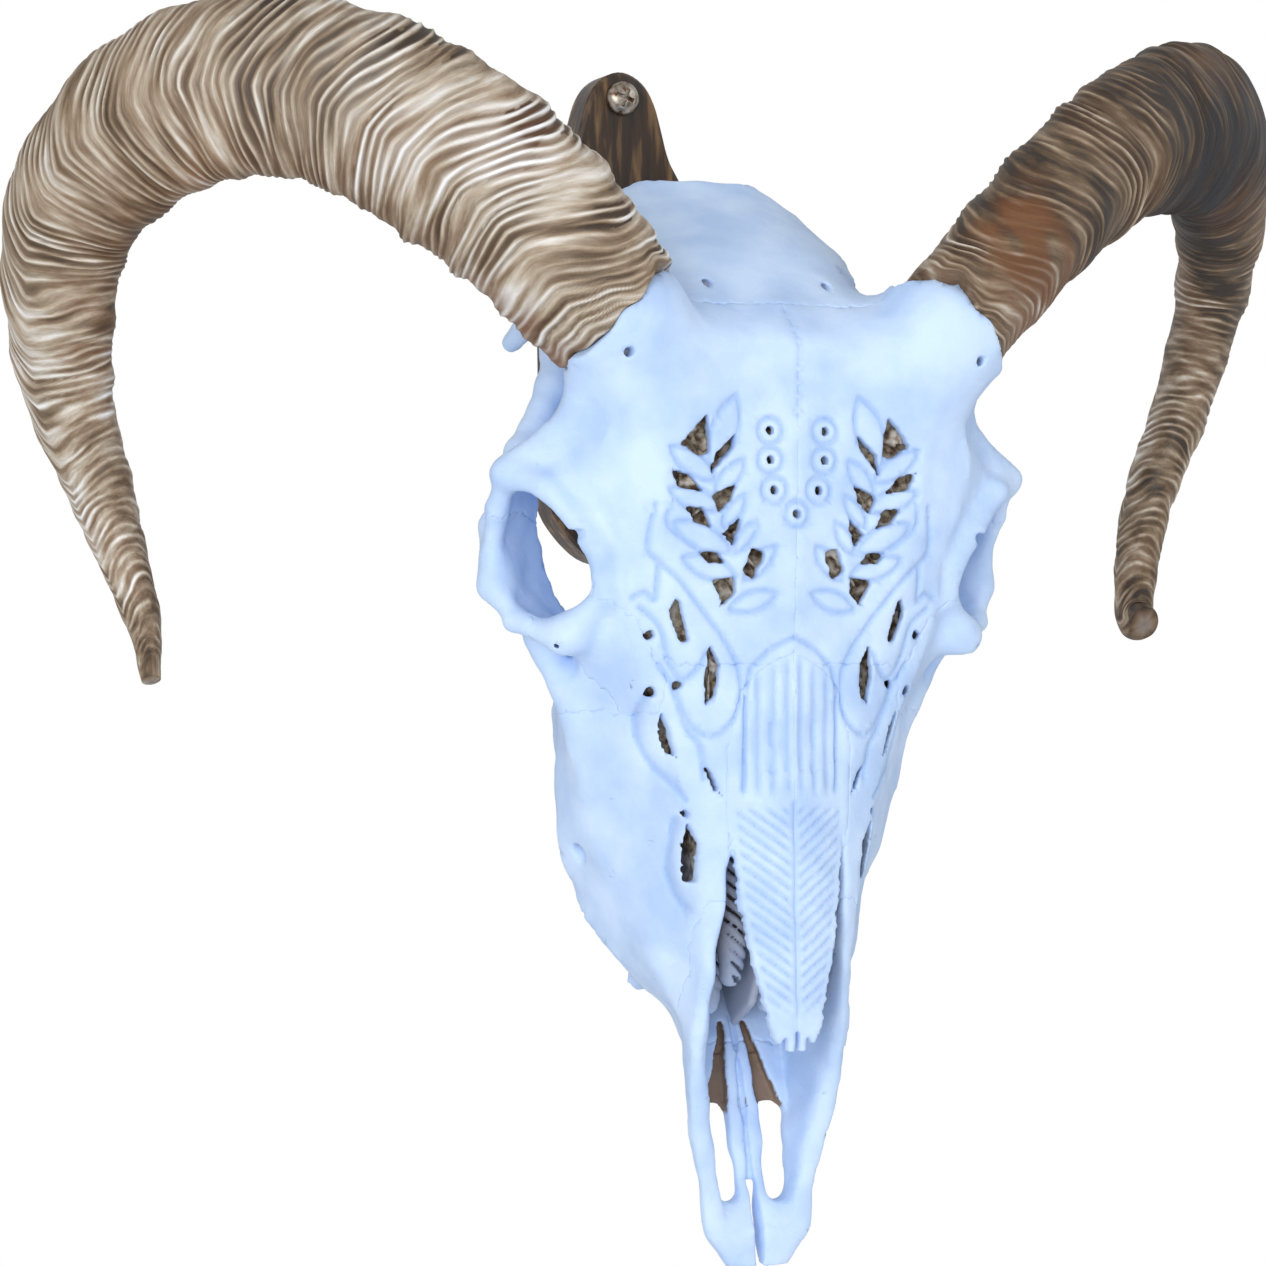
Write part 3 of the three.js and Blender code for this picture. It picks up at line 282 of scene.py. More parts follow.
def plane_distance(outline, x, y, closed=False):
    """Signed distance from an outline in the plane, positive outside."""
    inside = np.zeros(np.broadcast(x, y).shape, bool)
    for (ax, ay), (bx, by) in zip(outline, [*outline[1:], outline[0]]):
        if by != ay:
            inside ^= ((ay > y) != (by > y)) & (x < (bx - ax) * (y - ay) / (by - ay) + ax)
    best = line_distance([*outline, outline[0]] if closed else outline, x, y)
    return np.where(inside, -best, best)


def overlap(*parts):
    """Distance from what all the parts have in common."""
    return reduce(np.maximum, parts)


def ragged(z):
    """Uneven run of the edges of the nasal bones."""
    return np.sin(z * 2.1) * np.sin(z * 0.77 + 1)


def join(a, b, k):
    """Union with a rounded seam."""
    h = np.maximum(k - np.abs(a - b), 0) / k
    return np.minimum(a, b) - h * h * (k / 4)


def cut(a, b, k):
    """a without b, with a rounded edge."""
    return -join(-a, b, k)


def rod(p, a, b, ra, rb=None):
    """Distance from a straight rod that tapers from ra to rb."""
    rb = ra if rb is None else rb
    u = np.subtract(b, a).astype(float)
    w = [p[k] - a[k] for k in range(3)]
    t = unit((w[0] * u[0] + w[1] * u[1] + w[2] * u[2]) / (u @ u))
    return np.sqrt(sum((w[k] - u[k] * t) ** 2 for k in range(3))) - (ra + (rb - ra) * t)


def plate(p, a, b, c, r):
    """Distance from a three-cornered plate with round edges."""
    a, b, c = (np.array(v, float) for v in (a, b, c))
    normal = np.cross(b - a, a - c)
    inside = True
    edge = None
    for s, e in ((a, b), (b, c), (c, a)):
        u = e - s
        w = [p[k] - s[k] for k in range(3)]
        m = np.cross(u, normal)
        inside = inside & (w[0] * m[0] + w[1] * m[1] + w[2] * m[2] > 0)
        t = unit((w[0] * u[0] + w[1] * u[1] + w[2] * u[2]) / (u @ u))
        q = sum((w[k] - u[k] * t) ** 2 for k in range(3))
        edge = q if edge is None else np.minimum(edge, q)
    flat = sum((p[k] - a[k]) * normal[k] for k in range(3)) ** 2 / (normal @ normal)
    return np.sqrt(np.where(inside, flat, edge)) - r


def egg(p, c, r):
    """Rough distance from an egg with half axes r."""
    q = [(p[k] - c[k]) / r[k] for k in range(3)]
    k0 = np.sqrt(sum(v * v for v in q))
    k1 = np.sqrt(sum((q[k] / r[k]) ** 2 for k in range(3)))
    return k0 * (k0 - 1) / np.maximum(k1, 1e-6)


def line_distance(points, x, z):
    """Distance from a run of straight pieces in the plane."""
    best = np.full(np.broadcast(x, z).shape, 1e9, np.float32)
    for (ax, az), (bx, bz) in zip(points, points[1:]):
        dx, dz = bx - ax, bz - az
        t = unit(((x - ax) * dx + (z - az) * dz) / (dx * dx + dz * dz + 1e-9))
        np.minimum(best, (x - ax - dx * t) ** 2 + (z - az - dz * t) ** 2, out=best)
    return np.sqrt(best)


class Field:
    """Distance from the bone of the animal's left half, sampled on a grid of (z, x, y)."""

    def __init__(self, cell):
        self.cell = cell
        self.axes = [np.arange(LOW[k], HIGH[k], cell, dtype=np.float32) for k in range(3)]
        self.d = self.loft()

    def loft(self):
        x, y, z = self.axes
        out = np.empty((len(z), len(x), len(y)), np.float32)
        gx, gy = np.abs(x)[:, None], y[None, :]
        for k, level in enumerate(z):
            out[k] = np.maximum(plane_distance(outline_at(level), gx, gy), max(level - 277, -level))
        return out

    def window(self, low, high, pad):
        """Slices and coordinates of the part of the grid inside a box."""
        keep = []
        for k in range(3):
            a = np.searchsorted(self.axes[k], low[k] - pad)
            b = np.searchsorted(self.axes[k], high[k] + pad)
            keep.append(slice(int(a), int(b)))
        at = (keep[2], keep[0], keep[1])
        x = np.abs(self.axes[0][keep[0]])[None, :, None]
        y = self.axes[1][keep[1]][None, None, :]
        z = self.axes[2][keep[2]][:, None, None]
        return at, (x, y, z)

    def blend(self, shape, corners, k, pad, how=join):
        """Joins or cuts a shape, worked out only near the corners."""
        corners = np.array(corners, float)
        at, p = self.window(corners.min(0), corners.max(0), pad + k)
        self.d[at] = how(self.d[at], shape(p), k)

    def add_rod(self, a, b, ra, rb=None, k=4, how=join):
        self.blend(lambda p: rod(p, a, b, ra, rb), [a, b], k, max(ra, rb or ra) + 1.5, how)

    def add_plate(self, a, b, c, r, k=3, how=join):
        self.blend(lambda p: plate(p, a, b, c, r), [a, b, c], k, r + 1.5, how)

    def add_egg(self, c, r, k=4, how=join):
        self.blend(lambda p: egg(p, c, r), [c], k, max(r) + 1.5, how)


def carve_nose(f):
    """Opens the nose, parts the upper jaw and lays the nasal bones over the opening."""
    at, (x, y, z) = f.window((-2, -47, 8), (30, 40, 130), 0)
    front, floor, deep = (v.reshape(-1, 1, 1) for v in row_at(NOSE, f.axes[2][at[0]]))
    width = front + (floor - front) * unit((y + 20) / (deep + 20))
    d = cut(f.d[at], overlap(x - width, y - deep, -60 - y, z - 122, 12 - z), 3)
    # Curled plates inside the nose.
    for a, b, ra, rb in (((8, -14, 124), (7.4, -8, 74), 5, 2.4), ((8.6, 2, 124), (8, 6, 66), 5.4, 2.4)):
        scroll = np.abs(rod((x, y, z), a, b, ra, rb)) - 0.7
        d = np.minimum(d, np.maximum(scroll, 3 - (x + 0.4 * (y + 10))))
    half, face = (v.reshape(-1, 1, 1) for v in row_at(NASALS, f.axes[2][at[0]]))
    bow = face + x * x / (2 * NASAL_RADIUS)
    edge = x - half + 0.35 * ragged(z)
    f.d[at] = np.minimum(d, overlap(edge, bow - y, y - bow - NASAL_THICK, 57 - z, z - 126))
    # Cleft between the two halves with a groove above it, and a slit on each side with a hollow above.
    at, (x, y, z) = f.window((-2, -47, -4), (14, 40, 66), 0)
    floor = row_at(NOSE, f.axes[2][at[0]])[2].reshape(-1, 1, 1)
    flat = (x, 0 * y, z)
    top_of_slit = (7.8, 0, 37)
    for shape, k in (
        (overlap(x - 1.1, z - 21, y - 40), 0.8),
        (rod(flat, (6.6, 0, 19), top_of_slit, 2.8, 3.4), 1.4),
        (overlap(x - 0.7, z - 62, y - floor - 1.5), 0.6),
        (overlap(rod(flat, top_of_slit, (3, 0, 60), 3.2, 0.8), y - floor - 3.2), 0.8),
    ):
        f.d[at] = cut(f.d[at], shape, k)


def build_socket(f):
    """Eye socket: rim, strap behind it, brow, knob of the tear bone and the plate behind the brow."""
    corners = np.array(RIM + STRAP + BROW + [(43, -6, 214), BROW_BACK], float)
    at, p = f.window(corners.min(0), corners.max(0), 10)
    ring = np.full(f.d[at].shape, 50, np.float32)
    for i in range(len(RIM) - 1):
        ring = join(ring, rod(p, RIM[i], RIM[i + 1], 2.6), 1.5)
        ring = join(ring, plate(p, RIM[i], RIM[i + 1], STRAP[i], 2), 1.5)
        ring = join(ring, plate(p, STRAP[i], STRAP[i + 1], RIM[i + 1], 2), 1.5)
        ring = join(ring, rod(p, BROW[i], BROW[i + 1], 2.6), 1.5)
    for a, b, c in (
        (RIM[0], BROW_BACK, (46, -24, 200)),
        (RIM[0], BROW_BACK, STRAP[0]),
        ((43, -6, 214), BROW_BACK, STRAP[0]),
    ):
        ring = join(ring, plate(p, a, b, c, 2.6), 4)
    ring = join(ring, egg(p, (52, -14, 160), (6, 6, 5)), 4)
    f.d[at] = join(f.d[at], ring, 5)
    # Notches of the brow and the tear duct.
    for a, b, r in (((52, -30, 184), (56, -16, 183), 1.5), ((56, -16, 157), (50, -4, 160), 1.3),
                    ((30, -2, 178), (16, 12, 184), 2.6), ((34, -4, 196), (22, 10, 202), 2)):
        f.add_rod(a, b, r, k=1, how=cut)


def build_arch(f):
    """Cheek arch, its root by the ear and the ridge in front of the cheek."""
    for i in range(len(ARCH) - 1):
        f.add_rod(ARCH[i], ARCH[i + 1], ARCH_THICK[i], ARCH_THICK[i + 1], k=3)
    f.add_rod((34, 42, 234), (37, 38, 230), 5, 4, k=5)
    f.add_rod((42, 4, 134), (54, 2, 158), 2.5, 4, k=8)
    f.add_egg((24.6, -3, 84), (4, 6, 9), k=4)


def section_axes(tangents, turns):
    """Deep and broad axis of each section along a horn, carried along without twist and then turned."""
    across = np.array([0.0, 1.0, 0.0])
    deep, broad = np.empty((len(tangents), 3)), np.empty((len(tangents), 3))
    for i, tangent in enumerate(tangents):
        across = across - tangent * (across @ tangent)
        across /= np.linalg.norm(across)
        turn = math.radians(turns[i])
        deep[i] = across * math.cos(turn) + np.cross(tangent, across) * math.sin(turn)
        broad[i] = np.cross(tangent, deep[i])
    return deep, broad


def collar(angle):
    """How far the uneven edge between bone and horn lies towards the tip, round the horn."""
    swells = ((1.8, 2, 0.6), (1.1, 3, 2), (0.6, 7, 0), (0.3, 13, 0))
    return sum(size * np.sin(turns * angle + start) for size, turns, start in swells)


def build_horn_base(f):
    """Stump that carries the horn, cut square to it."""
    f.add_rod((24, -12, 212), (43, -25, 235), 17, 17.5, k=10)
    a = np.array(HORN_LEFT[0])
    way = np.array(HORN_LEFT[1]) - a
    way /= np.linalg.norm(way)
    at, p = f.window(a - 40, a + 40, 0)
    q = [p[k] - a[k] for k in range(3)]
    dot = lambda v: sum(q[k] * v[k] for k in range(3))
    deep, broad = section_axes(way[None], [HORN_TURN[0]])
    angle = np.arctan2(dot(broad[0]) / HORN_BROAD[0], dot(deep[0]) / HORN_DEEP[0])
    over = dot(way) + GAP - collar(angle)
    f.d[at] = np.maximum(f.d[at], np.minimum(over, 36 - np.sqrt(dot(q))))


def build_underside(f):
    """Base of the brain case, bulla, ear passage, side spur, condyle, throat wings and holes."""
    f.add_rod((0, 34, 186), (0, 60, 248), 9, 8.5, k=6)
    f.add_egg(upright(224, 24, 24), (7.6, 10, 12), k=4)
    f.add_rod(upright(236, 28, 38), upright(237, 34, 44), 5, 3.6, k=4)
    f.add_rod(upright(254, 28, 42), upright(252, 33, 7.5), 6, 2.6, k=5)
    f.add_egg(upright(267, 14, 38), (7.4, 8.6, 9.4), k=4)
    f.add_plate(upright(146, 12, 5), upright(176, 12, 34), upright(192, 11, 12), 1.8)
    f.add_plate(upright(192, 11, 12), upright(176, 12, 34), upright(204, 14, 34), 1.8)
    f.add_rod(upright(140, 14, 6), upright(146, 24, 8), 4, 4, k=4)
    f.add_rod((0, 58, 279), (0, 45, 245), 9.4, k=2, how=cut)
    for a, b, r in (
        (upright(238, 39, 47), upright(236, 28, 41), 2.4), (upright(212, 12, 40), upright(216, 14, 22), 2.6),
        (upright(150, 6, 10), upright(176, 6, 24), 6), (upright(112, 9, 14), upright(118, 10, -6), 1.6),
        (upright(100, 42, 24), upright(112, 30, 26), 2.2), (upright(258, 20, 40), upright(262, 14, 26), 1.7),
    ):
        f.add_rod(a, b, r, k=1.2, how=cut)


def build_teeth(f):
    """Cheek teeth in a row, each with furrows down its sides and crescents on its face."""
    ends = np.array([upright(68, 0, -8), upright(152, 45, 14)])
    at, (x, y, z) = f.window(ends.min(0), ends.max(0), 6)
    along = math.sin(LEAN) * y + math.cos(LEAN) * z
    height = -math.cos(LEAN) * y + math.sin(LEAN) * z
    way = (ROW_END - ROW_START) / np.linalg.norm(ROW_END - ROW_START)
    u = (along - ROW_START[0]) * way[0] + (x - ROW_START[1]) * way[1]
    v = -(along - ROW_START[0]) * way[1] + (x - ROW_START[1]) * way[0]
    start = 0
    d = f.d[at]
    for length, broad in TEETH:
        lobes = 1 if length < 10 else 2
        phase = (u - start) / length * 2 * math.pi * lobes
        crescents = 0.6 * np.cos(phase) * np.cos(v * 1.1)
        q = (
            np.abs(u - start - length / 2) - length / 2 + 1.9,
            np.abs(v + broad / 2) - broad / 2 + 1.8 + 0.5 * np.cos(phase) + 0.2 * np.cos(3 * phase),
            np.abs(height - (ROOT - CROWN) / 2) - (ROOT + CROWN) / 2 + 1.8 + crescents,
        )
        q = np.broadcast_arrays(*q)
        outside = np.sqrt(sum(np.maximum(s, 0) ** 2 for s in q))
        d = np.minimum(d, outside + np.minimum(np.maximum.reduce(q), 0) - 1.5)
        start += length
    f.d[at] = d


def leaf(x, z, foot, tip):
    """Pointed oval from foot to tip in the front view, negative inside."""
    mid = (np.array(foot) + tip) / 2
    run = np.subtract(tip, foot)
    a = np.hypot(*run) / 2
    b = a * LEAF_BREADTH
    c, s = run / (2 * a)
    u = (x - mid[0]) * c + (z - mid[1]) * s
    v = (z - mid[1]) * c - (x - mid[0]) * s
    r = (a * a + b * b) / (2 * b)
    return np.sqrt(u * u + (np.abs(v) + r - b) ** 2) - r


def engraving(x, z):
    """Depth of the carved lines in the front view, against that of a full groove."""
    lines = [line_distance(NASAL_TOP, x, z)]
    lines += [np.abs(leaf(x, z, foot, tip)) for foot, tip in SPRAY_LEAVES]
    lines += [np.abs(np.hypot(x - cx, z - cz) - RING_RADIUS) for cx, cz in RINGED_DOTS]
    lines += [line_distance(spline(scroll, 8 * len(scroll))[0], x, z) for scroll in SCROLLS]
    depth = np.exp(-(np.minimum.reduce(lines) / LINE_WIDTH) ** 2)
    # Flutes over the upper part of the nasal bones.
    flutes = (0.5 + 0.5 * np.cos((x - 1.8) * 2 * math.pi / FLUTE_PITCH)) ** 2 * (x < 12.6)
    flutes = flutes * unit((z - FLUTE_FOOT) / 3) * unit((156 - 0.5 * x - z) / 4)
    # Feathering below them, with a rib down the middle.
    half = row_at(NASALS, z[:, 0])[0][:, None] - 0.8
    barbs = (0.5 + 0.5 * np.cos((z - 0.75 * x) * 2 * math.pi / BARB_PITCH)) ** 4 * unit(x - 0.5)
    barbs = barbs * unit((z - 64) / 6) * unit((BARB_TOP - z) / 1.5)
    barbs = barbs * unit((half - x) / 0.8)
    rib = np.exp(-(line_distance([(0, 118), (0, 66)], x, z) / 0.5) ** 2)
    return depth + 0.9 * (flutes + barbs) + 0.8 * rib


def carve_face(f, groove):
    """Cuts the ornament: leaf sprays, ringed dots, scrolls, flutes and feathering, with openwork."""
    skin = f.d.copy()
    f.lines = np.zeros(f.d.shape, np.float32)
    at, (x, y, z) = f.window((-2, -47, 56), (60, 12, 250), 0)
    s = skin[at]
    x2, z2 = x[:, :, 0], z[:, :, 0]
    # Zigzag of the middle seam of the forehead.
    zigzag = np.exp(-((x2 - 0.9 * np.abs((z2 / 1.7) % 2 - 1)) / 0.35) ** 2) * (z2 > 212) * (z2 < 240)
    relief = (groove * engraving(x2, z2) + 0.5 * zigzag)[:, :, None] * (y < 6)
    # The depth of the carving is kept to paint shade into the grooves.
    f.lines[at] = relief * 0.8
    d = f.d[at] + relief * unit((s + 3) / 1.5)
    # Hollow sinus behind the openwork, with thin webs across it, and the hollow of the cheek.
    webs = 0.9 - np.abs(np.sin(x * 0.62 + 0.6) + np.sin(z * 0.55) * np.cos(y * 0.5)) * 3
    sinus = overlap(s + 3.4, -s - 9.5, webs, x - 34, 2.4 - x, z - 217, 132 - z, y + 4)
    cheek = overlap(s + 3.2, -s - 9, 96 - z, z - 172, 19.4 - x, y - 8)
    d = np.maximum(d, -np.minimum(sinus, cheek))
    uneven = 0.25 * np.sin(x2 * 2.3 + z2) * np.sin(z2 * 1.9 + 1)
    gaps = [plane_distance(gap, x2, z2, True) - 0.15 + uneven for gap in OPENWORK]
    gaps += [np.hypot(x2 - cx, z2 - cz) - r + uneven for cx, cz, r in OPENWORK_ROUND]
    gaps += [np.hypot(x2 - cx, z2 - cz) - DOT_RADIUS for cx, cz in RINGED_DOTS]
    d = cut(d, overlap(np.minimum.reduce(gaps)[:, :, None], -s - 6, y - 4), 0.5)
    for cx, cz, r in SMALL_HOLES:
        d = cut(d, overlap((np.hypot(x2 - cx, z2 - cz) - r)[:, :, None], -s - 4), 0.6)
    f.d[at] = d
    return skin


def roughen(f, amount):
    """Gentle swells over the bone, so that no face is ruled."""
    x, y, z = (a.reshape(s) for a, s in zip(f.axes, ((1, -1, 1), (1, 1, -1), (-1, 1, 1))))
    swells = np.sin(z * 0.31 + 1) * np.sin(y * 0.27 + x * 0.11)
    f.d += amount * (swells + 0.6 * np.sin(x * 0.47 + 2) * np.sin(z * 0.63 + y * 0.4))


def sample(array, f, points):
    """Values of a grid array at points, straight between samples."""
    pos = [(np.abs(points[:, k]) if k == 0 else points[:, k]) for k in range(3)]
    pos = [np.clip((pos[k] - LOW[k]) / f.cell, 0, len(f.axes[k]) - 1.001) for k in range(3)]
    low = [v.astype(int) for v in pos]
    t = [pos[k] - low[k] for k in range(3)]
    out = 0
    for c in range(8):
        o = [c & 1, (c >> 1) & 1, c >> 2]
        w = np.prod([t[k] if o[k] else 1 - t[k] for k in range(3)], axis=0)
        out = out + w * array[low[2] + o[2], low[0] + o[0], low[1] + o[1]]
    return out


def new_object(name, points, polygons):
    """Mesh object from vertices in mm of the upright frame."""
    mesh = bpy.data.meshes.new(name)
    points = np.array(points, float)
    points[:, 0] += SIDEWAYS * np.maximum(0, 1 - points[:, 2] / SIDEWAYS_BELOW) ** 2
    mesh.vertices.add(len(points))
    mesh.vertices.foreach_set("co", ((points + SHIFT) * MM).astype(np.float32).ravel())
    loops = np.concatenate([p.ravel() for p in polygons]).astype(np.int32)
    counts = np.concatenate([np.full(len(p), p.shape[1]) for p in polygons])
    mesh.loops.add(len(loops))
    mesh.loops.foreach_set("vertex_index", loops)
    mesh.polygons.add(len(counts))
    mesh.polygons.foreach_set("loop_start", np.concatenate([[0], np.cumsum(counts)[:-1]]).astype(np.int32))
    mesh.update(calc_edges=True)
    mesh.validate()
    mesh.shade_smooth()
    obj = bpy.data.objects.new(name, mesh)
    bpy.context.scene.collection.objects.link(obj)
    return obj


def keep_largest(points, polygons):
    """Drops loose crumbs: keeps the biggest connected surface and any of its rooms."""
    label = np.arange(len(points))
    while True:
        before = label.copy()
        for p in polygons:
            low = label[p].min(1)
            for k in range(p.shape[1]):
                np.minimum.at(label, p[:, k], low)
        label = label[label]
        if (label == before).all():
            break
    ids, counts = np.unique(label, return_counts=True)
    keep = np.isin(label, ids[counts > 0.1 * counts.max()])
    new = np.cumsum(keep) - 1
    return points[keep], [new[p[keep[p[:, 0]]]] for p in polygons]


def mesh_of(values, f, both):
    """Surface of a distance array as vertices in mm and polygons that face out."""
    low = list(LOW)
    if both:
        start = int(round(-LOW[0] / f.cell))
        values = np.concatenate([values[:, :start:-1], values[:, start:]], axis=1)
        low[0] = -(values.shape[1] // 2) * f.cell
    limit = 2.5 * f.cell
    grid = vdb.FloatGrid(limit)
    solid = np.ascontiguousarray(np.clip(values, -limit, limit).transpose(1, 2, 0))
    grid.copyFromArray(solid, tolerance=1e-4)
    points, triangles, quads = grid.convertToPolygons(isovalue=0, adaptivity=0.12)
    points = points * f.cell + np.array(low)
    polygons = [p[:, ::-1].astype(np.int64) for p in (triangles, quads) if len(p)]
    points, polygons = keep_largest(points.astype(float), polygons)
    volume = 0
    for p in polygons:
        for k in range(1, p.shape[1] - 1):
            a, b, c = points[p[:, 0]], points[p[:, k]], points[p[:, k + 1]]
            volume += np.einsum("ij,ij->", a, np.cross(b, c))
    if volume < 0:
        polygons = [p[:, ::-1] for p in polygons]
    return points, polygons


def set_attribute(obj, name, values):
    layer = obj.data.attributes.new(name, "FLOAT", "POINT")
    layer.data.foreach_set("value", np.asarray(values, np.float32))


def finish_piece(obj, material, slot, *nodes):
    obj.data.materials.append(material)
    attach(obj, "root")
    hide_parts(*nodes)


def add_node(tree, kind, at, links=(), **values):
    """Adds a node at a place, sets its properties and inputs, and links the named inputs."""
    node = tree.nodes.new(kind)
    node.location = at
    for key, value in values.items():
        if key in node.inputs:
            node.inputs[key].default_value = value
        else:
            setattr(node, key, value)
    for socket, source in links:
        tree.links.new(source, node.inputs[socket])
    return node


def ramp(tree, at, source, stops):
    """Colour ramp through (place, hex) stops."""
    node = add_node(tree, "ShaderNodeValToRGB", at, [("Fac", source)])
    elements = node.color_ramp.elements
    while len(elements) < len(stops):
        elements.new(0.5)
    for element, (place, code) in zip(elements, stops):
        element.position = place
        element.color = srgb(code)
    return node.outputs["Color"]


def blank(name):
    material = bpy.data.materials.new(name)
    material.use_nodes = True
    tree = material.node_tree
    tree.nodes.clear()
    out = add_node(tree, "ShaderNodeOutputMaterial", (900, 0))
    shader = add_node(tree, "ShaderNodeBsdfPrincipled", (600, 0))
    tree.links.new(shader.outputs[0], out.inputs[0])
    coords = add_node(tree, "ShaderNodeTexCoord", (-1000, 0)).outputs["Object"]
    return material, tree, shader, coords


def mix(tree, at, factor, a, b):
    """Mixes two colours, each a socket or a hex code."""
    node = add_node(tree, "ShaderNodeMix", at, [("Factor", factor)], data_type="RGBA", blend_type="MIX")
    for socket, value in ((6, a), (7, b)):
        if isinstance(value, str):
            node.inputs[socket].default_value = srgb(value)
        else:
            tree.links.new(value, node.inputs[socket])
    return node.outputs[2]


def attribute(tree, at, name, output="Fac"):
    """What the mesh stores under a name."""
    return add_node(tree, "ShaderNodeAttribute", at, attribute_name=name).outputs[output]


def noise(tree, at, place, scale, detail, **values):
    """Cloudy noise at a place, as a factor."""
    node = add_node(tree, "ShaderNodeTexNoise", at, [("Vector", place)], Scale=scale, Detail=detail, **values)
    return node.outputs["Fac"]


def scale_add(tree, at, value, factor, addend):
    """value times factor, plus addend."""
    node = add_node(tree, "ShaderNodeMath", at, [(0, value), (2, addend)], operation="MULTIPLY_ADD")
    node.inputs[1].default_value = factor
    return node.outputs[0]


def finish_shader(tree, shader, colour, roughness, height, strength, distance):
    """Links the colour and a bump of fine grain, in metres, to the shader."""
    tree.links.new(colour, shader.inputs["Base Color"])
    shader.inputs["Roughness"].default_value = roughness
    bump = add_node(
        tree, "ShaderNodeBump", (300, -500), [("Height", height)], Strength=strength, Distance=distance)
    tree.links.new(bump.outputs["Normal"], shader.inputs["Normal"])


def bone_material():
    """Bone painted cool white: unpainted crumbs in the openwork, bare brown with painted shade in the nose,
    painted shade along the engraved lines, fine pores.
    """
    material, tree, shader, coords = blank("painted_bone")
    mottle = noise(tree, (-700, 300), coords, 60.0, 6.0)
    colour = ramp(tree, (-450, 300), mottle, [(0.35, "B2CDF4"), (0.62, "C9E0FF")])
    # Painted shade along the engraved grooves and the zigzag seam, in a darker blue.
    colour = mix(tree, (-100, 400), attribute(tree, (-450, 500), "line"), colour, "8FB0E2")
    crumbs = noise(tree, (-700, -200), coords, 420.0, 4.0)
    bare = ramp(tree, (-450, -200), crumbs, [(0.38, "6E5A48"), (0.5, "C6B59F"), (0.62, "F6EFE4")])
    colour = mix(tree, (150, 200), attribute(tree, (-700, 0), "deep"), colour, bare)
    # Brown of bare bone with painted shade inside the nose.
    colour = mix(tree, (330, 200), attribute(tree, (-700, 120), "stain"), colour, "7D634A")
    pores = add_node(tree, "ShaderNodeTexVoronoi", (-700, -450), [("Vector", coords)], Scale=900.0)
    pits = add_node(tree, "ShaderNodeMapRange", (-450, -450), [("Value", pores.outputs["Distance"])])
    pits.inputs["From Max"].default_value = 0.35
    grain = noise(tree, (-700, -700), coords, 260.0, 8.0)
    height = scale_add(tree, (-200, -500), pits.outputs["Result"], 0.35, grain)
    finish_shader(tree, shader, colour, 0.6, height, 0.35, 0.0004)
    return material


def horn_material():
    """Ram's horn: cream and grey crests with painted highlight, brown furrows with painted shade, painted
    shade on the inner side of the curl, dark grey patches that are partly painted shade, and rust patches.
    """
    material, tree, shader, _ = blank("ram_horn")
    place = attribute(tree, (-1000, 300), "along_round", "Vector")
    streaks = noise(tree, (-700, 300), place, 1.0, 7.0, Roughness=0.62)
    # Random streaks over the stored colour level, which carries painted highlight and painted shade.
    tone_highlight_and_shade = scale_add(tree, (-500, 150), streaks, 0.9, attribute(tree, (-1000, 0), "tone_highlight_and_shade"))
    colour = ramp(tree, (-250, 200), tone_highlight_and_shade, [
        (0.12, "2B211A"), (0.3, "64503A"), (0.46, "8E7A64"), (0.6, "B3A592"), (0.74, "D3CDC4"),
            (0.92, "F0F0F2")])
    # Painted shade in the wrinkle troughs, dark grey patches that are partly painted shade, and rust.
    for i, (name, code) in enumerate((("furrow_shade", "3A2A1C"), ("slate_and_shade", "24262C"), ("rust", "70431C"))):
        factor = attribute(tree, (-1000, -200 - 150 * i), name)
        colour = mix(tree, (50 + 150 * i, 150 - 50 * i), factor, colour, code)
    finish_shader(tree, shader, colour, 0.5, noise(tree, (-700, -700), place, 3.0, 8.0), 0.5, 0.0006)
    return material


def wood_material():
    """Dark stained wood with worn streaks down the grain."""
    material, tree, shader, coords = blank("stained_wood")
    flat = add_node(tree, "ShaderNodeMapping", (-850, 200), [("Vector", coords)], Scale=(1.0, 1.0, 0.12))
    grain = noise(tree, (-650, 200), flat.outputs[0], 330.0, 8.0)
    colour = ramp(tree, (-400, 200), grain, [(0.32, "160C06"), (0.52, "3A2512"), (0.72, "8C6C44")])
    finish_shader(tree, shader, colour, 0.38, grain, 0.5, 0.0005)
    return material


def steel_material():
    """Dull screw steel with a little rust."""
    material, tree, shader, coords = blank("screw_steel")
    spots = noise(tree, (-650, 200), coords, 500.0, 5.0)
    colour = ramp(tree, (-400, 200), spots, [(0.35, "6B4A33"), (0.5, "A59C90"), (0.8, "C9C4BC")])
    tree.links.new(colour, shader.inputs["Base Color"])
    shader.inputs["Metallic"].default_value = 0.9
    shader.inputs["Roughness"].default_value = 0.34
    return material


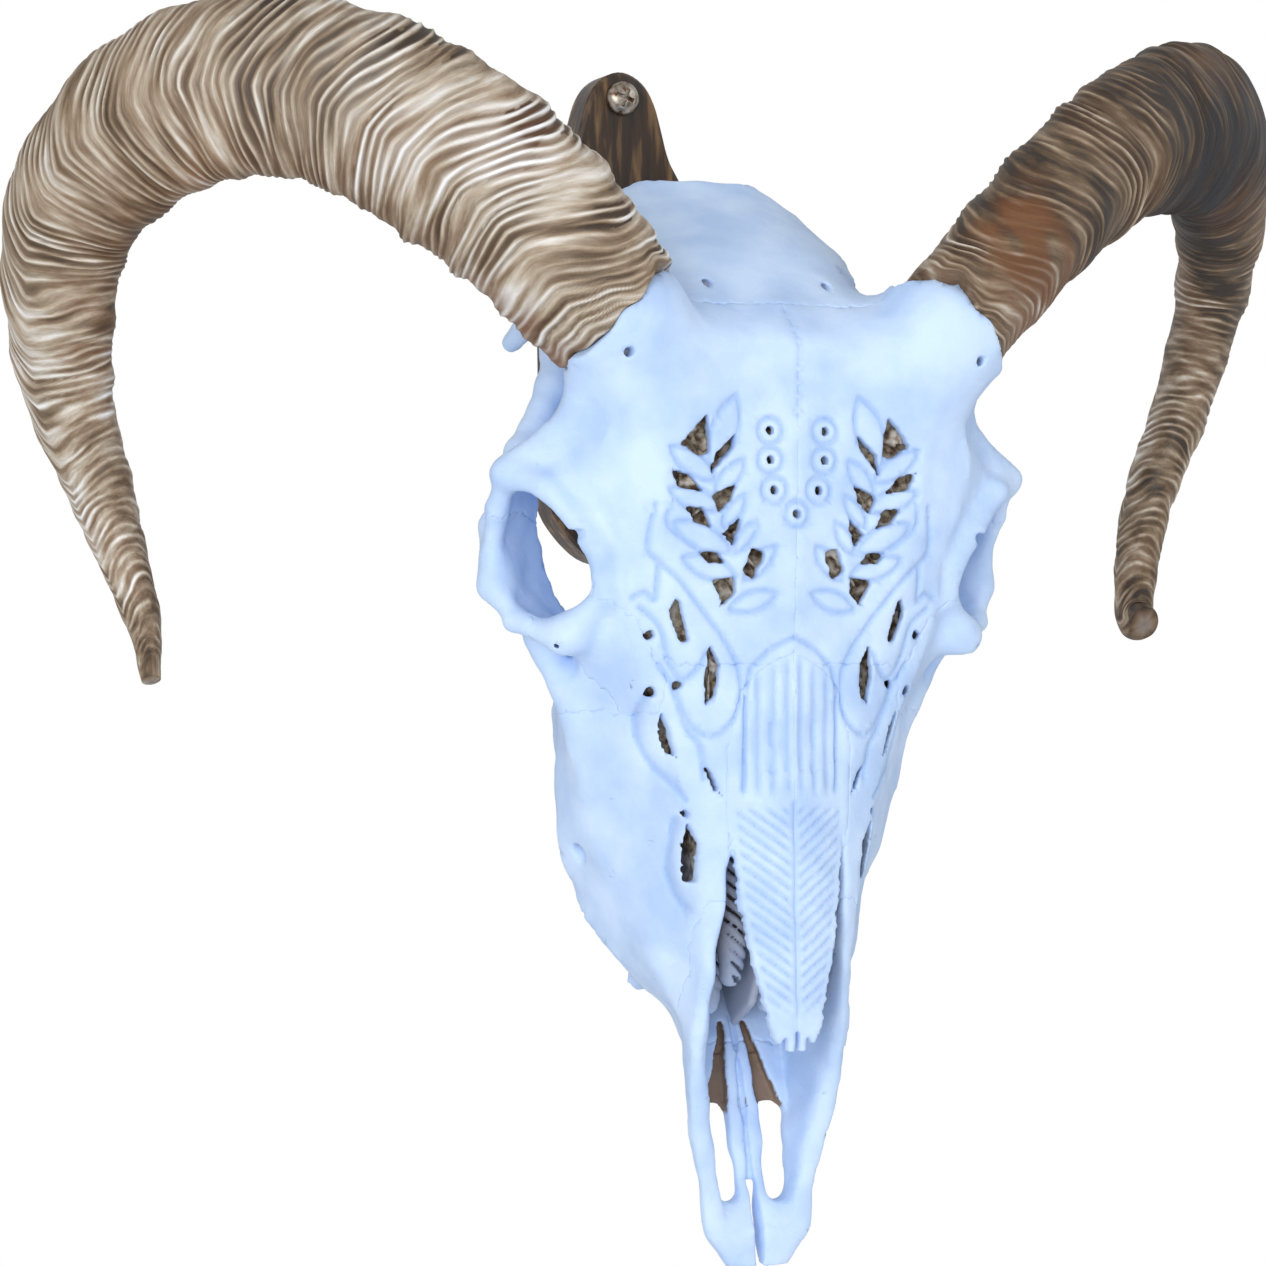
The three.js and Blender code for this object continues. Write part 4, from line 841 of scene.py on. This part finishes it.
def build_skull(settings):
    """Makes the bones of the skull, each its own closed piece."""
    f = Field(settings.cell * (1.0))
    for step in (build_arch, build_socket, carve_nose, build_horn_base, build_underside, build_teeth):
        step(f)
    roughen(f, 0.28)
    skin = carve_face(f, settings.groove)
    peg_at, p = f.window((-2, 36, 258), (6, 95, 272), 0)
    f.d[peg_at] = np.maximum(f.d[peg_at], PEG_RADIUS + GAP - np.hypot(p[0], p[2] - PEG_Z))

    x, y, z = f.axes
    gx, gy, gz = x[None, :, None], y[None, None, :], z[:, None, None]
    wave = 1.4 * np.sin(gx * 0.21 + gz * 0.13 + 0.6) * np.sin(gz * 0.17 + gy * 0.1 + 2)
    wave = wave + 0.3 * np.sin(gx * 1.9 + np.sin(gz * 0.8))
    wave = wave + 0.3 * np.sin(gz * 1.7 + gy * 0.6 + np.sin(gx * 0.9))
    front = lambda outline: plane_distance(outline, x[None, :], z[:, None], True)[:, :, None]
    side = lambda outline: plane_distance(outline, y[None, :], z[:, None], True)[:, None, :]
    bone = bone_material()
    rest = f.d
    for name, region in (
        ("nasal", lambda: np.maximum(front(NASAL_SEAM), gy + 24.4)),
        ("lacrimal", lambda: np.maximum(front(LACRIMAL_FRONT), side(LACRIMAL_SIDE))),
        ("zygomatic", lambda: np.maximum(side(ZYGOMATIC_SIDE), 38 - gx)),
        ("premaxilla", lambda: side(PREMAXILLA_SIDE)),
        ("frontal", lambda: side(FRONTAL_SIDE)),
        ("maxilla", lambda: side(MAXILLA_SIDE)),
    ):
        shape = region() + (0.25 * ragged(gz) if name == "nasal" else wave)
        points, polygons = mesh_of(overlap(rest, shape + SEAM, SEAM - gx), f, False)
        rest = np.maximum(rest, SEAM - shape)
        for side_name, m in (("left", 1), ("right", -1)):
            turned = points * [m, 1, 1]
            faces = polygons if m > 0 else [q[:, ::-1] for q in polygons]
            piece = new_object(f"bone_{name}_{side_name}", turned, faces)
            shade_bone(piece, f, skin, turned)
            finish_piece(piece, bone, "bone", f"{name}_{side_name}")
    points, polygons = mesh_of(rest, f, True)
    piece = new_object("bone_cranium", points, polygons)
    shade_bone(piece, f, skin, points)
    finish_piece(piece, bone, "bone", "cranium")
    # Keel in the floor of the nose.
    points, polygons = mesh_of(overlap(side(VOMER_SIDE), np.abs(gx) - 0.9, GAP - f.d), f, True)
    piece = new_object("bone_vomer", points, polygons)
    # The keel gets half the brown of the nose: bare bone with painted shade.
    for name, level in (("deep", 0), ("stain", 0.5), ("line", 0)):
        set_attribute(piece, name, np.full(len(points), level))
    finish_piece(piece, bone, "bone", "vomer")


def shade_bone(piece, f, skin, points):
    """Stores where the bone is bare, where the nose shows bare brown with painted shade, and the painted
    shade of the engraved lines.
    """
    x, y, z = np.abs(points[:, 0]), points[:, 1], points[:, 2]
    bare = (sample(f.d, f, points) > -0.6) * unit((-sample(skin, f, points) - 2.2) / 2.5)
    front, floor, back = row_at(NOSE, z)
    inner = (z > 40) & (z < 126) & (y > -27) & (y < np.minimum(back + 2, 30))
    inner = inner & (x < np.minimum(np.maximum(floor, front) + 0.8, 18))
    # Brown inside the nose: bare bone, with painted shade that grows deeper into the nose.
    stain = inner * np.clip((y + 24) / 20, 0, 0.9) * unit((z - 60) / 26)
    # Painted shadow in the hollow above each slit.
    slit_hollow_shade = (y > back + 0.8) & (y < back + 4) & (x > 1) & (x < 11) & (z > 38) & (z < 62)
    set_attribute(piece, "stain", np.maximum(stain, 0.95 * slit_hollow_shade))
    set_attribute(piece, "deep", bare)
    # Painted shade of the engraved grooves.
    set_attribute(piece, "line", unit(sample(f.lines, f, points)))


def spline(points, count):
    """Evenly spaced points and tangents along a smooth curve through the given ones."""
    pts = np.array(points, float)
    ext = np.vstack([2 * pts[0] - pts[1], pts, 2 * pts[-1] - pts[-2]])
    fine = []
    for i in range(len(pts) - 1):
        p0, p1, p2, p3 = ext[i:i + 4]
        for t in np.linspace(0, 1, 60, endpoint=False):
            fine.append(0.5 * (2 * p1 + (p2 - p0) * t + (2 * p0 - 5 * p1 + 4 * p2 - p3) * t * t
                               + (3 * p1 - p0 - 3 * p2 + p3) * t ** 3))
    fine = np.array(fine + [pts[-1]])
    run = np.concatenate([[0], np.cumsum(np.linalg.norm(np.diff(fine, axis=0), axis=1))])
    even = np.linspace(0, run[-1], count)
    out = np.stack([np.interp(even, run, fine[:, k]) for k in range(pts.shape[1])], 1)
    tangent = np.gradient(out, axis=0)
    return out, tangent / np.linalg.norm(tangent, axis=1)[:, None], run[-1]


def ripples(rng, count, along, angle, reach, turns):
    """Uneven swells over a horn: sine waves along it that also turn a few times round it."""
    out = 0
    for _ in range(count):
        step = rng.uniform(0.5, 1.6) * 2 * math.pi / reach
        round_it = rng.integers(-turns, turns + 1) * angle
        out = out + np.sin(step * along + round_it + rng.uniform(0, 2 * math.pi))
    return out / math.sqrt(count / 2)


def tube_faces(rings, sides, tips):
    """Faces of a tube of rings of points. Its tips, if it has them, are the last two points."""
    j = np.arange(sides)
    k = (j + 1) % sides
    low = np.arange(rings - 1)[:, None] * sides
    quads = np.stack([low + j, low + k, low + sides + k, low + sides + j], -1).reshape(-1, 4)
    if not tips:
        return [quads]
    end, last = rings * sides, (rings - 1) * sides
    fans = [[np.full(sides, end), k, j], [np.full(sides, end + 1), last + j, last + k]]
    return [np.concatenate([np.stack(fan, 1) for fan in fans]), quads]


def build_horn(settings, name, line, girth, m, seed):
    """One horn: a tapering sweep with cross wrinkles that bend at the keel."""
    rings = 680
    sides = 140
    centre, tangent, length = spline(line, rings)
    rng = np.random.default_rng(seed)
    t = np.linspace(0, 1, rings)
    table = lambda values: np.interp(t, np.linspace(0, 1, len(values)), values)
    deep, broad = section_axes(tangent, table(HORN_TURN))
    angle = np.linspace(0, 2 * math.pi, sides, endpoint=False)[None, :]
    c, s = np.cos(angle), np.sin(angle)
    outward = centre - centre.mean(0)
    outer = c * np.sign(np.einsum("ij,ij->i", deep, outward))[:, None]
    # Rows of points lean with the wrinkles, apart from those near the two ends.
    plain = t * length
    bend = np.where(outer > 0, 1.8, 0.7) * settings.chevron * np.abs(c) ** 1.25
    lean = unit(np.minimum(plain / 30, (length - plain) / 40))[:, None]
    mm = plain[:, None] + lean * (4 - bend)
    along = lambda rows: np.stack([np.interp(mm, plain, rows[:, k]) for k in range(3)], -1)
    middle, deep, broad = along(centre), along(deep), along(broad)
    t = mm / length
    # Wrinkles: place along the horn in mm, pushed back on both sides of the keel.
    place = mm + bend + 0.6 * ripples(rng, 8, mm, angle, 46, 2) + 0.32 * ripples(rng, 12, mm, angle, 15, 4)
    pitch = np.interp(plain / length, [0, 0.15, 0.5, 0.8, 1], [2.6, 2.5, 2.4, 2.7, 3])
    look = np.interp(place, plain, np.cumsum(np.gradient(plain) / pitch))
    number = np.clip(np.floor(look).astype(int), 0, MOST_WRINKLES - 1)
    strength = rng.uniform(0.25, 1, MOST_WRINKLES)[number]
    strength = strength * np.clip(0.75 + 0.4 * ripples(rng, 10, mm, angle, 24, 4), 0.1, 1.3)
    saw = look % 1
    ridge = 0.5 - 0.5 * np.cos(2 * math.pi * (saw - 0.1 * np.sin(2 * math.pi * saw)))
    swell = ripples(rng, 6, place, 0 * angle, 13, 0)
    lumps = ripples(rng, 10, mm, angle, 20, 4)
    fade = np.interp(t, [0, 0.02, 0.5, 0.8, 0.93, 1], [0.5, 1, 0.85, 0.55, 0.3, 0.1])
    height = fade * (settings.ridge * (ridge - 0.5) * strength + 0.32 * swell + 0.22 * lumps)
    a = table(HORN_DEEP) * table(girth) + height
    b = table(HORN_BROAD) * table(girth) * (1 + 0.06 * np.abs(s) ** 6) + height
    grow = middle + (a * np.sign(c) * np.abs(c) ** 0.92)[..., None] * deep
    grow = grow + (b * np.sign(s) * np.abs(s) ** 0.92)[..., None] * broad
    shove = collar(angle) * unit(1 - mm / 14)
    grow = grow + shove[..., None] * tangent[0]
    points = np.vstack([grow.reshape(-1, 3), centre[:1], centre[-1:] + tangent[-1:] * 0.8])
    points = points * [m, 1, 1]
    polygons = tube_faces(rings, sides, True)
    if m < 0:
        polygons = [q[:, ::-1] for q in polygons]
    piece = new_object(name, points, polygons)
    flat = lambda v: np.concatenate([np.broadcast_to(v, (rings, sides)).ravel(), [0.5, 0.5]])
    normal = (c / a)[..., None] * deep + (s / b)[..., None] * broad
    normal /= np.linalg.norm(normal, axis=2)[..., None]
    # Painted shade in the troughs of the wrinkles, and in notches along the outer keel.
    furrow_shade = unit(1 - ridge * 2.0) * unit(strength) * unit(fade + 0.2)
    notch = unit((outer - 0.72) / 0.2) * (strength > 0.8) * unit(1 - ridge * 1.6)
    set_attribute(piece, "furrow_shade", flat(unit(0.62 * furrow_shade + notch * (t < 0.6))))
    patch = ripples(rng, 10, mm, angle, 70, 2)
    mottle = ripples(rng, 14, place, angle, 9, 4)
    # Painted highlight on the wrinkle crests and painted shade in their troughs, over random and lengthwise
    # variation.
    tone_highlight_and_shade = 0.1 + 0.38 * (ridge - 0.45) * np.clip(strength, 0.2, 1) + 0.07 * patch + 0.06 * mottle
    # Darker on the outer keel, and painted shade on the inner side of the curl.
    tone_highlight_and_shade = tone_highlight_and_shade - 0.1 * unit(outer - 0.6) - 0.2 * unit(-outer - 0.35)
    tone_highlight_and_shade = tone_highlight_and_shade + np.interp(
        t, [0, 0.05, 0.2, 0.45, 0.6, 0.8, 0.93, 1], [0.08, 0.12, 0.06, -0.04, 0.02, 0.1, 0.02, -0.1])
    # The animal's left horn is the darker one.
    if m > 0:
        darker = [0.22, 0.26, 0.3, 0.4, 0.2, 0.08, 0.12]
        tone_highlight_and_shade = tone_highlight_and_shade - np.interp(t, [0, 0.05, 0.2, 0.45, 0.6, 0.75, 1], darker)
    set_attribute(piece, "tone_highlight_and_shade", flat(tone_highlight_and_shade))
    towards = lambda way: unit(normal @ np.array(way))
    blot = np.clip(0.9 + 0.5 * ripples(rng, 12, mm, angle, 12, 6), 0, 1.3)
    if m > 0:
        # On this horn the dark grey patch is painted shade on the underside of the curl.
        slate_and_shade = 1.5 * np.exp(-((t - 0.4) / 0.085) ** 2) * towards((-0.1, -0.8, -0.55))
        slate_and_shade = slate_and_shade * blot * unit(1.45 - ridge)
        rust = 1.3 * np.exp(-((t - 0.075) / 0.035) ** 2) * towards((0.1, -0.9, -0.4)) * blot
    else:
        # On this horn a dark grey patch on its front.
        slate_and_shade = 0.5 * np.exp(-((t - 0.3) / 0.08) ** 2) * towards((0, -0.8, 0.1))
        slate_and_shade = slate_and_shade * blot * unit(1 - ridge)
        rust = (0.7 * np.exp(-(t / 0.07) ** 2) + 0.3 * (t < 0.7)) * unit(-outer - 0.2) * blot
    rust = rust + 0.35 * unit(1 - ridge * 1.4) * unit(patch * 0.6)
    set_attribute(piece, "slate_and_shade", flat(np.clip(slate_and_shade, 0, 0.85)))
    set_attribute(piece, "rust", flat(np.clip(rust, 0, 0.8)))
    layer = piece.data.attributes.new("along_round", "FLOAT_VECTOR", "POINT")
    place = np.stack([flat(look * 1.1), flat(c * 1.3), flat(s * 1.3)], 1)
    layer.data.foreach_set("vector", place.astype(np.float32).ravel())
    return piece


def lathe(name, profile, z, sides=48):
    """Closed turned piece about an axis along y. profile holds (radius, y)."""
    ring = np.linspace(0, 2 * math.pi, sides, endpoint=False)
    points = [np.stack([r * np.cos(ring), np.full(sides, y), z + r * np.sin(ring)], 1) for r, y in profile]
    points = np.vstack(points + [[[0, profile[0][1], z]], [[0, profile[-1][1], z]]])
    piece = new_object(name, points, tube_faces(len(profile), sides, True))
    close_up(piece)
    return piece


def build_hanger():
    """Wall board, peg and cross-head screw."""
    wood = wood_material()
    pts = np.array([*BOARD, *((-x, z) for x, z in BOARD[-2:0:-1])], float)
    for _ in range(2):
        after = np.roll(pts, -1, 0)
        pts = np.stack([0.75 * pts + 0.25 * after, 0.25 * pts + 0.75 * after], 1).reshape(-1, 2)
    centre = pts.mean(0)
    points = []
    for scale, behind in ((1, BOARD_BACK - BOARD_FRONT), (1, 1.6), (0.985, 0.5), (0.95, 0)):
        q = centre + (pts - centre) * scale
        points.append(np.stack([q[:, 0], np.full(len(pts), BOARD_FRONT + behind), q[:, 1]], 1))
    board = new_object("wall_board", np.vstack(points), tube_faces(len(points), len(pts), False))
    close_up(board)
    board.data.shade_flat()
    finish_piece(board, wood, "board_wood", "hanger_board")
    peg = lathe("skull_peg", [(2.4, 38), (PEG_RADIUS, 39), (PEG_RADIUS, 94.6)], PEG_Z)
    finish_piece(peg, wood, "board_wood", "hanger_peg")
    head = BOARD_FRONT - GAP
    bend = np.linspace(0.02, math.pi / 2, 12)
    dome = [(SCREW_HEAD * math.sin(a), head - 0.5 - 2.3 * math.cos(a)) for a in bend]
    screw = lathe("wall_screw", dome + [(SCREW_HEAD, head), (2.1, head), (2.1, BOARD_BACK)], SCREW_Z)
    middle = Matrix.Translation(Vector((0, head - 2.6, SCREW_Z)) * MM + Vector(SHIFT * MM))
    for turn in (0.35, 0.35 + math.pi / 2):
        bpy.ops.mesh.primitive_cube_add(size=1)
        bar = bpy.context.object
        bar.matrix_world = middle @ Matrix.Rotation(turn, 4, "Y") @ Matrix.Diagonal((*CROSS_BAR, 1))
        cut_with(screw, bar)
    finish_piece(screw, steel_material(), "screw_steel", "hanger_screw")


def cut_with(obj, tool):
    """Takes the tool's shape out of obj."""
    modifier = obj.modifiers.new("cut", "BOOLEAN")
    modifier.operation = "DIFFERENCE"
    modifier.solver = "EXACT"
    modifier.object = tool
    bpy.context.view_layer.update()
    mesh = bpy.data.meshes.new_from_object(obj.evaluated_get(bpy.context.evaluated_depsgraph_get()))
    obj.modifiers.clear()
    obj.data = mesh
    bpy.data.objects.remove(tool)


def close_up(obj):
    """Closes any open edges with flat faces and turns all faces out."""
    bm = bmesh.new()
    bm.from_mesh(obj.data)
    bmesh.ops.holes_fill(bm, edges=bm.edges[:], sides=0)
    bmesh.ops.recalc_face_normals(bm, faces=bm.faces[:])
    bm.to_mesh(obj.data)
    bm.free()


def build_studio(settings):
    """Plain pale floor, soft lamps and the camera of the photo."""
    scene = bpy.context.scene
    paper, _, shader, _ = blank("pale_paper")
    shader.inputs["Base Color"].default_value = srgb("F4F4F4")
    shader.inputs["Roughness"].default_value = 0.9
    bpy.ops.mesh.primitive_plane_add(size=3.4, location=(0, 0, -0.62))
    floor = bpy.context.object
    floor.name = "floor"
    floor.data.materials.append(paper)
    world = bpy.data.worlds.new("studio")
    world.use_nodes = True
    sky = world.node_tree.nodes["Background"]
    sky.inputs["Color"].default_value = srgb("FFFFFF")
    seen = add_node(world.node_tree, "ShaderNodeLightPath", (-700, 0)).outputs["Is Camera Ray"]
    level = add_node(world.node_tree, "ShaderNodeMapRange", (-400, 0), [("Value", seen)])
    level.inputs["To Min"].default_value = settings.ambient
    level.inputs["To Max"].default_value = 1.0
    world.node_tree.links.new(level.outputs[0], sky.inputs["Strength"])
    scene.world = world
    for name, place, size, power in (
        ("key_lamp", (-1.0, -1.6, 0.1), 1.0, settings.key),
        ("fill_lamp", (1.2, -1.4, 0.6), 1.4, settings.key * 0.25),
    ):
        lamp = bpy.data.lights.new(name, "AREA")
        lamp.size = size
        lamp.energy = power
        obj = bpy.data.objects.new(name, lamp)
        obj.location = place
        obj.rotation_euler = (Vector((0, -0.1, 0)) - Vector(place)).to_track_quat("-Z", "Y").to_euler()
        scene.collection.objects.link(obj)
    cam = bpy.data.cameras.new("camera")
    cam.sensor_width = 36
    cam.lens = settings.lens
    cam.clip_start = 0.02
    camera = bpy.data.objects.new("camera", cam)
    camera.location = (-0.3888, -1.0336, -0.08026)
    camera.rotation_euler = (math.pi / 2, 0, -math.radians(21))
    scene.collection.objects.link(camera)
    scene.camera = camera
    scene.view_settings.view_transform = "Standard"


class SkullSettings(bpy.types.PropertyGroup):
    cell: FloatProperty(
        name="Sample size", description="Grid step of the bone in mm", default=0.62, min=0.4, max=3)
    groove: FloatProperty(
        name="Groove depth", description="Depth of the engraved lines in mm", default=0.9, min=0)


class HornSettings(bpy.types.PropertyGroup):
    ridge: FloatProperty(
        name="Wrinkle height", description="Height of the cross wrinkles in mm", default=0.62, min=0)
    chevron: FloatProperty(
        name="Wrinkle bend", description="How far the wrinkles bend at the keel, mm", default=7.0)
    seed: IntProperty(name="Seed", description="Seed of the uneven wrinkles", default=4)


class StudioSettings(bpy.types.PropertyGroup):
    key: FloatProperty(
        name="Key lamp", description="Power of the main lamp in watts", default=17, subtype="POWER")
    ambient: FloatProperty(
        name="Ambient", description="Strength of the surrounding light", default=0.62, min=0)
    lens: FloatProperty(
        name="Lens", description="Focal length of the camera", default=113.84, subtype="DISTANCE_CAMERA")


class SKULL_OT_bones(bpy.types.Operator):
    """Build the bones of the skull"""

    bl_idname = "skull.bones"
    bl_label = "Build Bones"

    def execute(self, context):
        build_skull(context.scene.skull_settings)
        return {"FINISHED"}


class SKULL_OT_horns(bpy.types.Operator):
    """Build both horns"""

    bl_idname = "skull.horns"
    bl_label = "Build Horns"

    def execute(self, context):
        settings = context.scene.horn_settings
        material = horn_material()
        for name, line, girth, m in (
            ("horn_left", HORN_LEFT, GIRTH_LEFT, 1),
            ("horn_right", HORN_RIGHT, GIRTH_RIGHT, -1),
        ):
            piece = build_horn(settings, "ram_" + name, line, girth, m, settings.seed + m)
            finish_piece(piece, material, "horn", name)
        return {"FINISHED"}


class SKULL_OT_hanger(bpy.types.Operator):
    """Build the wall board, peg and screw"""

    bl_idname = "skull.hanger"
    bl_label = "Build Hanger"

    def execute(self, context):
        build_hanger()
        return {"FINISHED"}


class SKULL_OT_studio(bpy.types.Operator):
    """Build the floor, lamps and camera"""

    bl_idname = "skull.studio"
    bl_label = "Build Studio"

    def execute(self, context):
        build_studio(context.scene.studio_settings)
        return {"FINISHED"}


class SKULL_PT_panel(bpy.types.Panel):
    bl_label = "Carved Ram Skull"
    bl_idname = "SKULL_PT_panel"
    bl_space_type = "VIEW_3D"
    bl_region_type = "UI"
    bl_category = "Skull"

    def draw(self, context):
        layout = self.layout
        for group, names in (
            (context.scene.skull_settings, ("cell", "groove")),
            (context.scene.horn_settings, ("ridge", "chevron", "seed")),
            (context.scene.studio_settings, ("key", "ambient", "lens")),
        ):
            for name in names:
                layout.prop(group, name)
        for operator in ("skull.bones", "skull.horns", "skull.hanger", "skull.studio"):
            layout.operator(operator)


CLASSES = (
    SkullSettings, HornSettings, StudioSettings, SKULL_OT_bones, SKULL_OT_horns, SKULL_OT_hanger,
    SKULL_OT_studio, SKULL_PT_panel,
)


def register():
    for cls in CLASSES:
        bpy.utils.register_class(cls)
    bpy.types.Scene.skull_settings = PointerProperty(type=SkullSettings)
    bpy.types.Scene.horn_settings = PointerProperty(type=HornSettings)
    bpy.types.Scene.studio_settings = PointerProperty(type=StudioSettings)


def unregister():
    del bpy.types.Scene.skull_settings, bpy.types.Scene.horn_settings, bpy.types.Scene.studio_settings
    for cls in reversed(CLASSES):
        bpy.utils.unregister_class(cls)


def main():
    register()
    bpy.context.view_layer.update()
    bpy.ops.skull.bones()
    bpy.ops.skull.horns()
    bpy.ops.skull.hanger()
    bpy.ops.skull.studio()


if __name__ == "__main__":
    main()
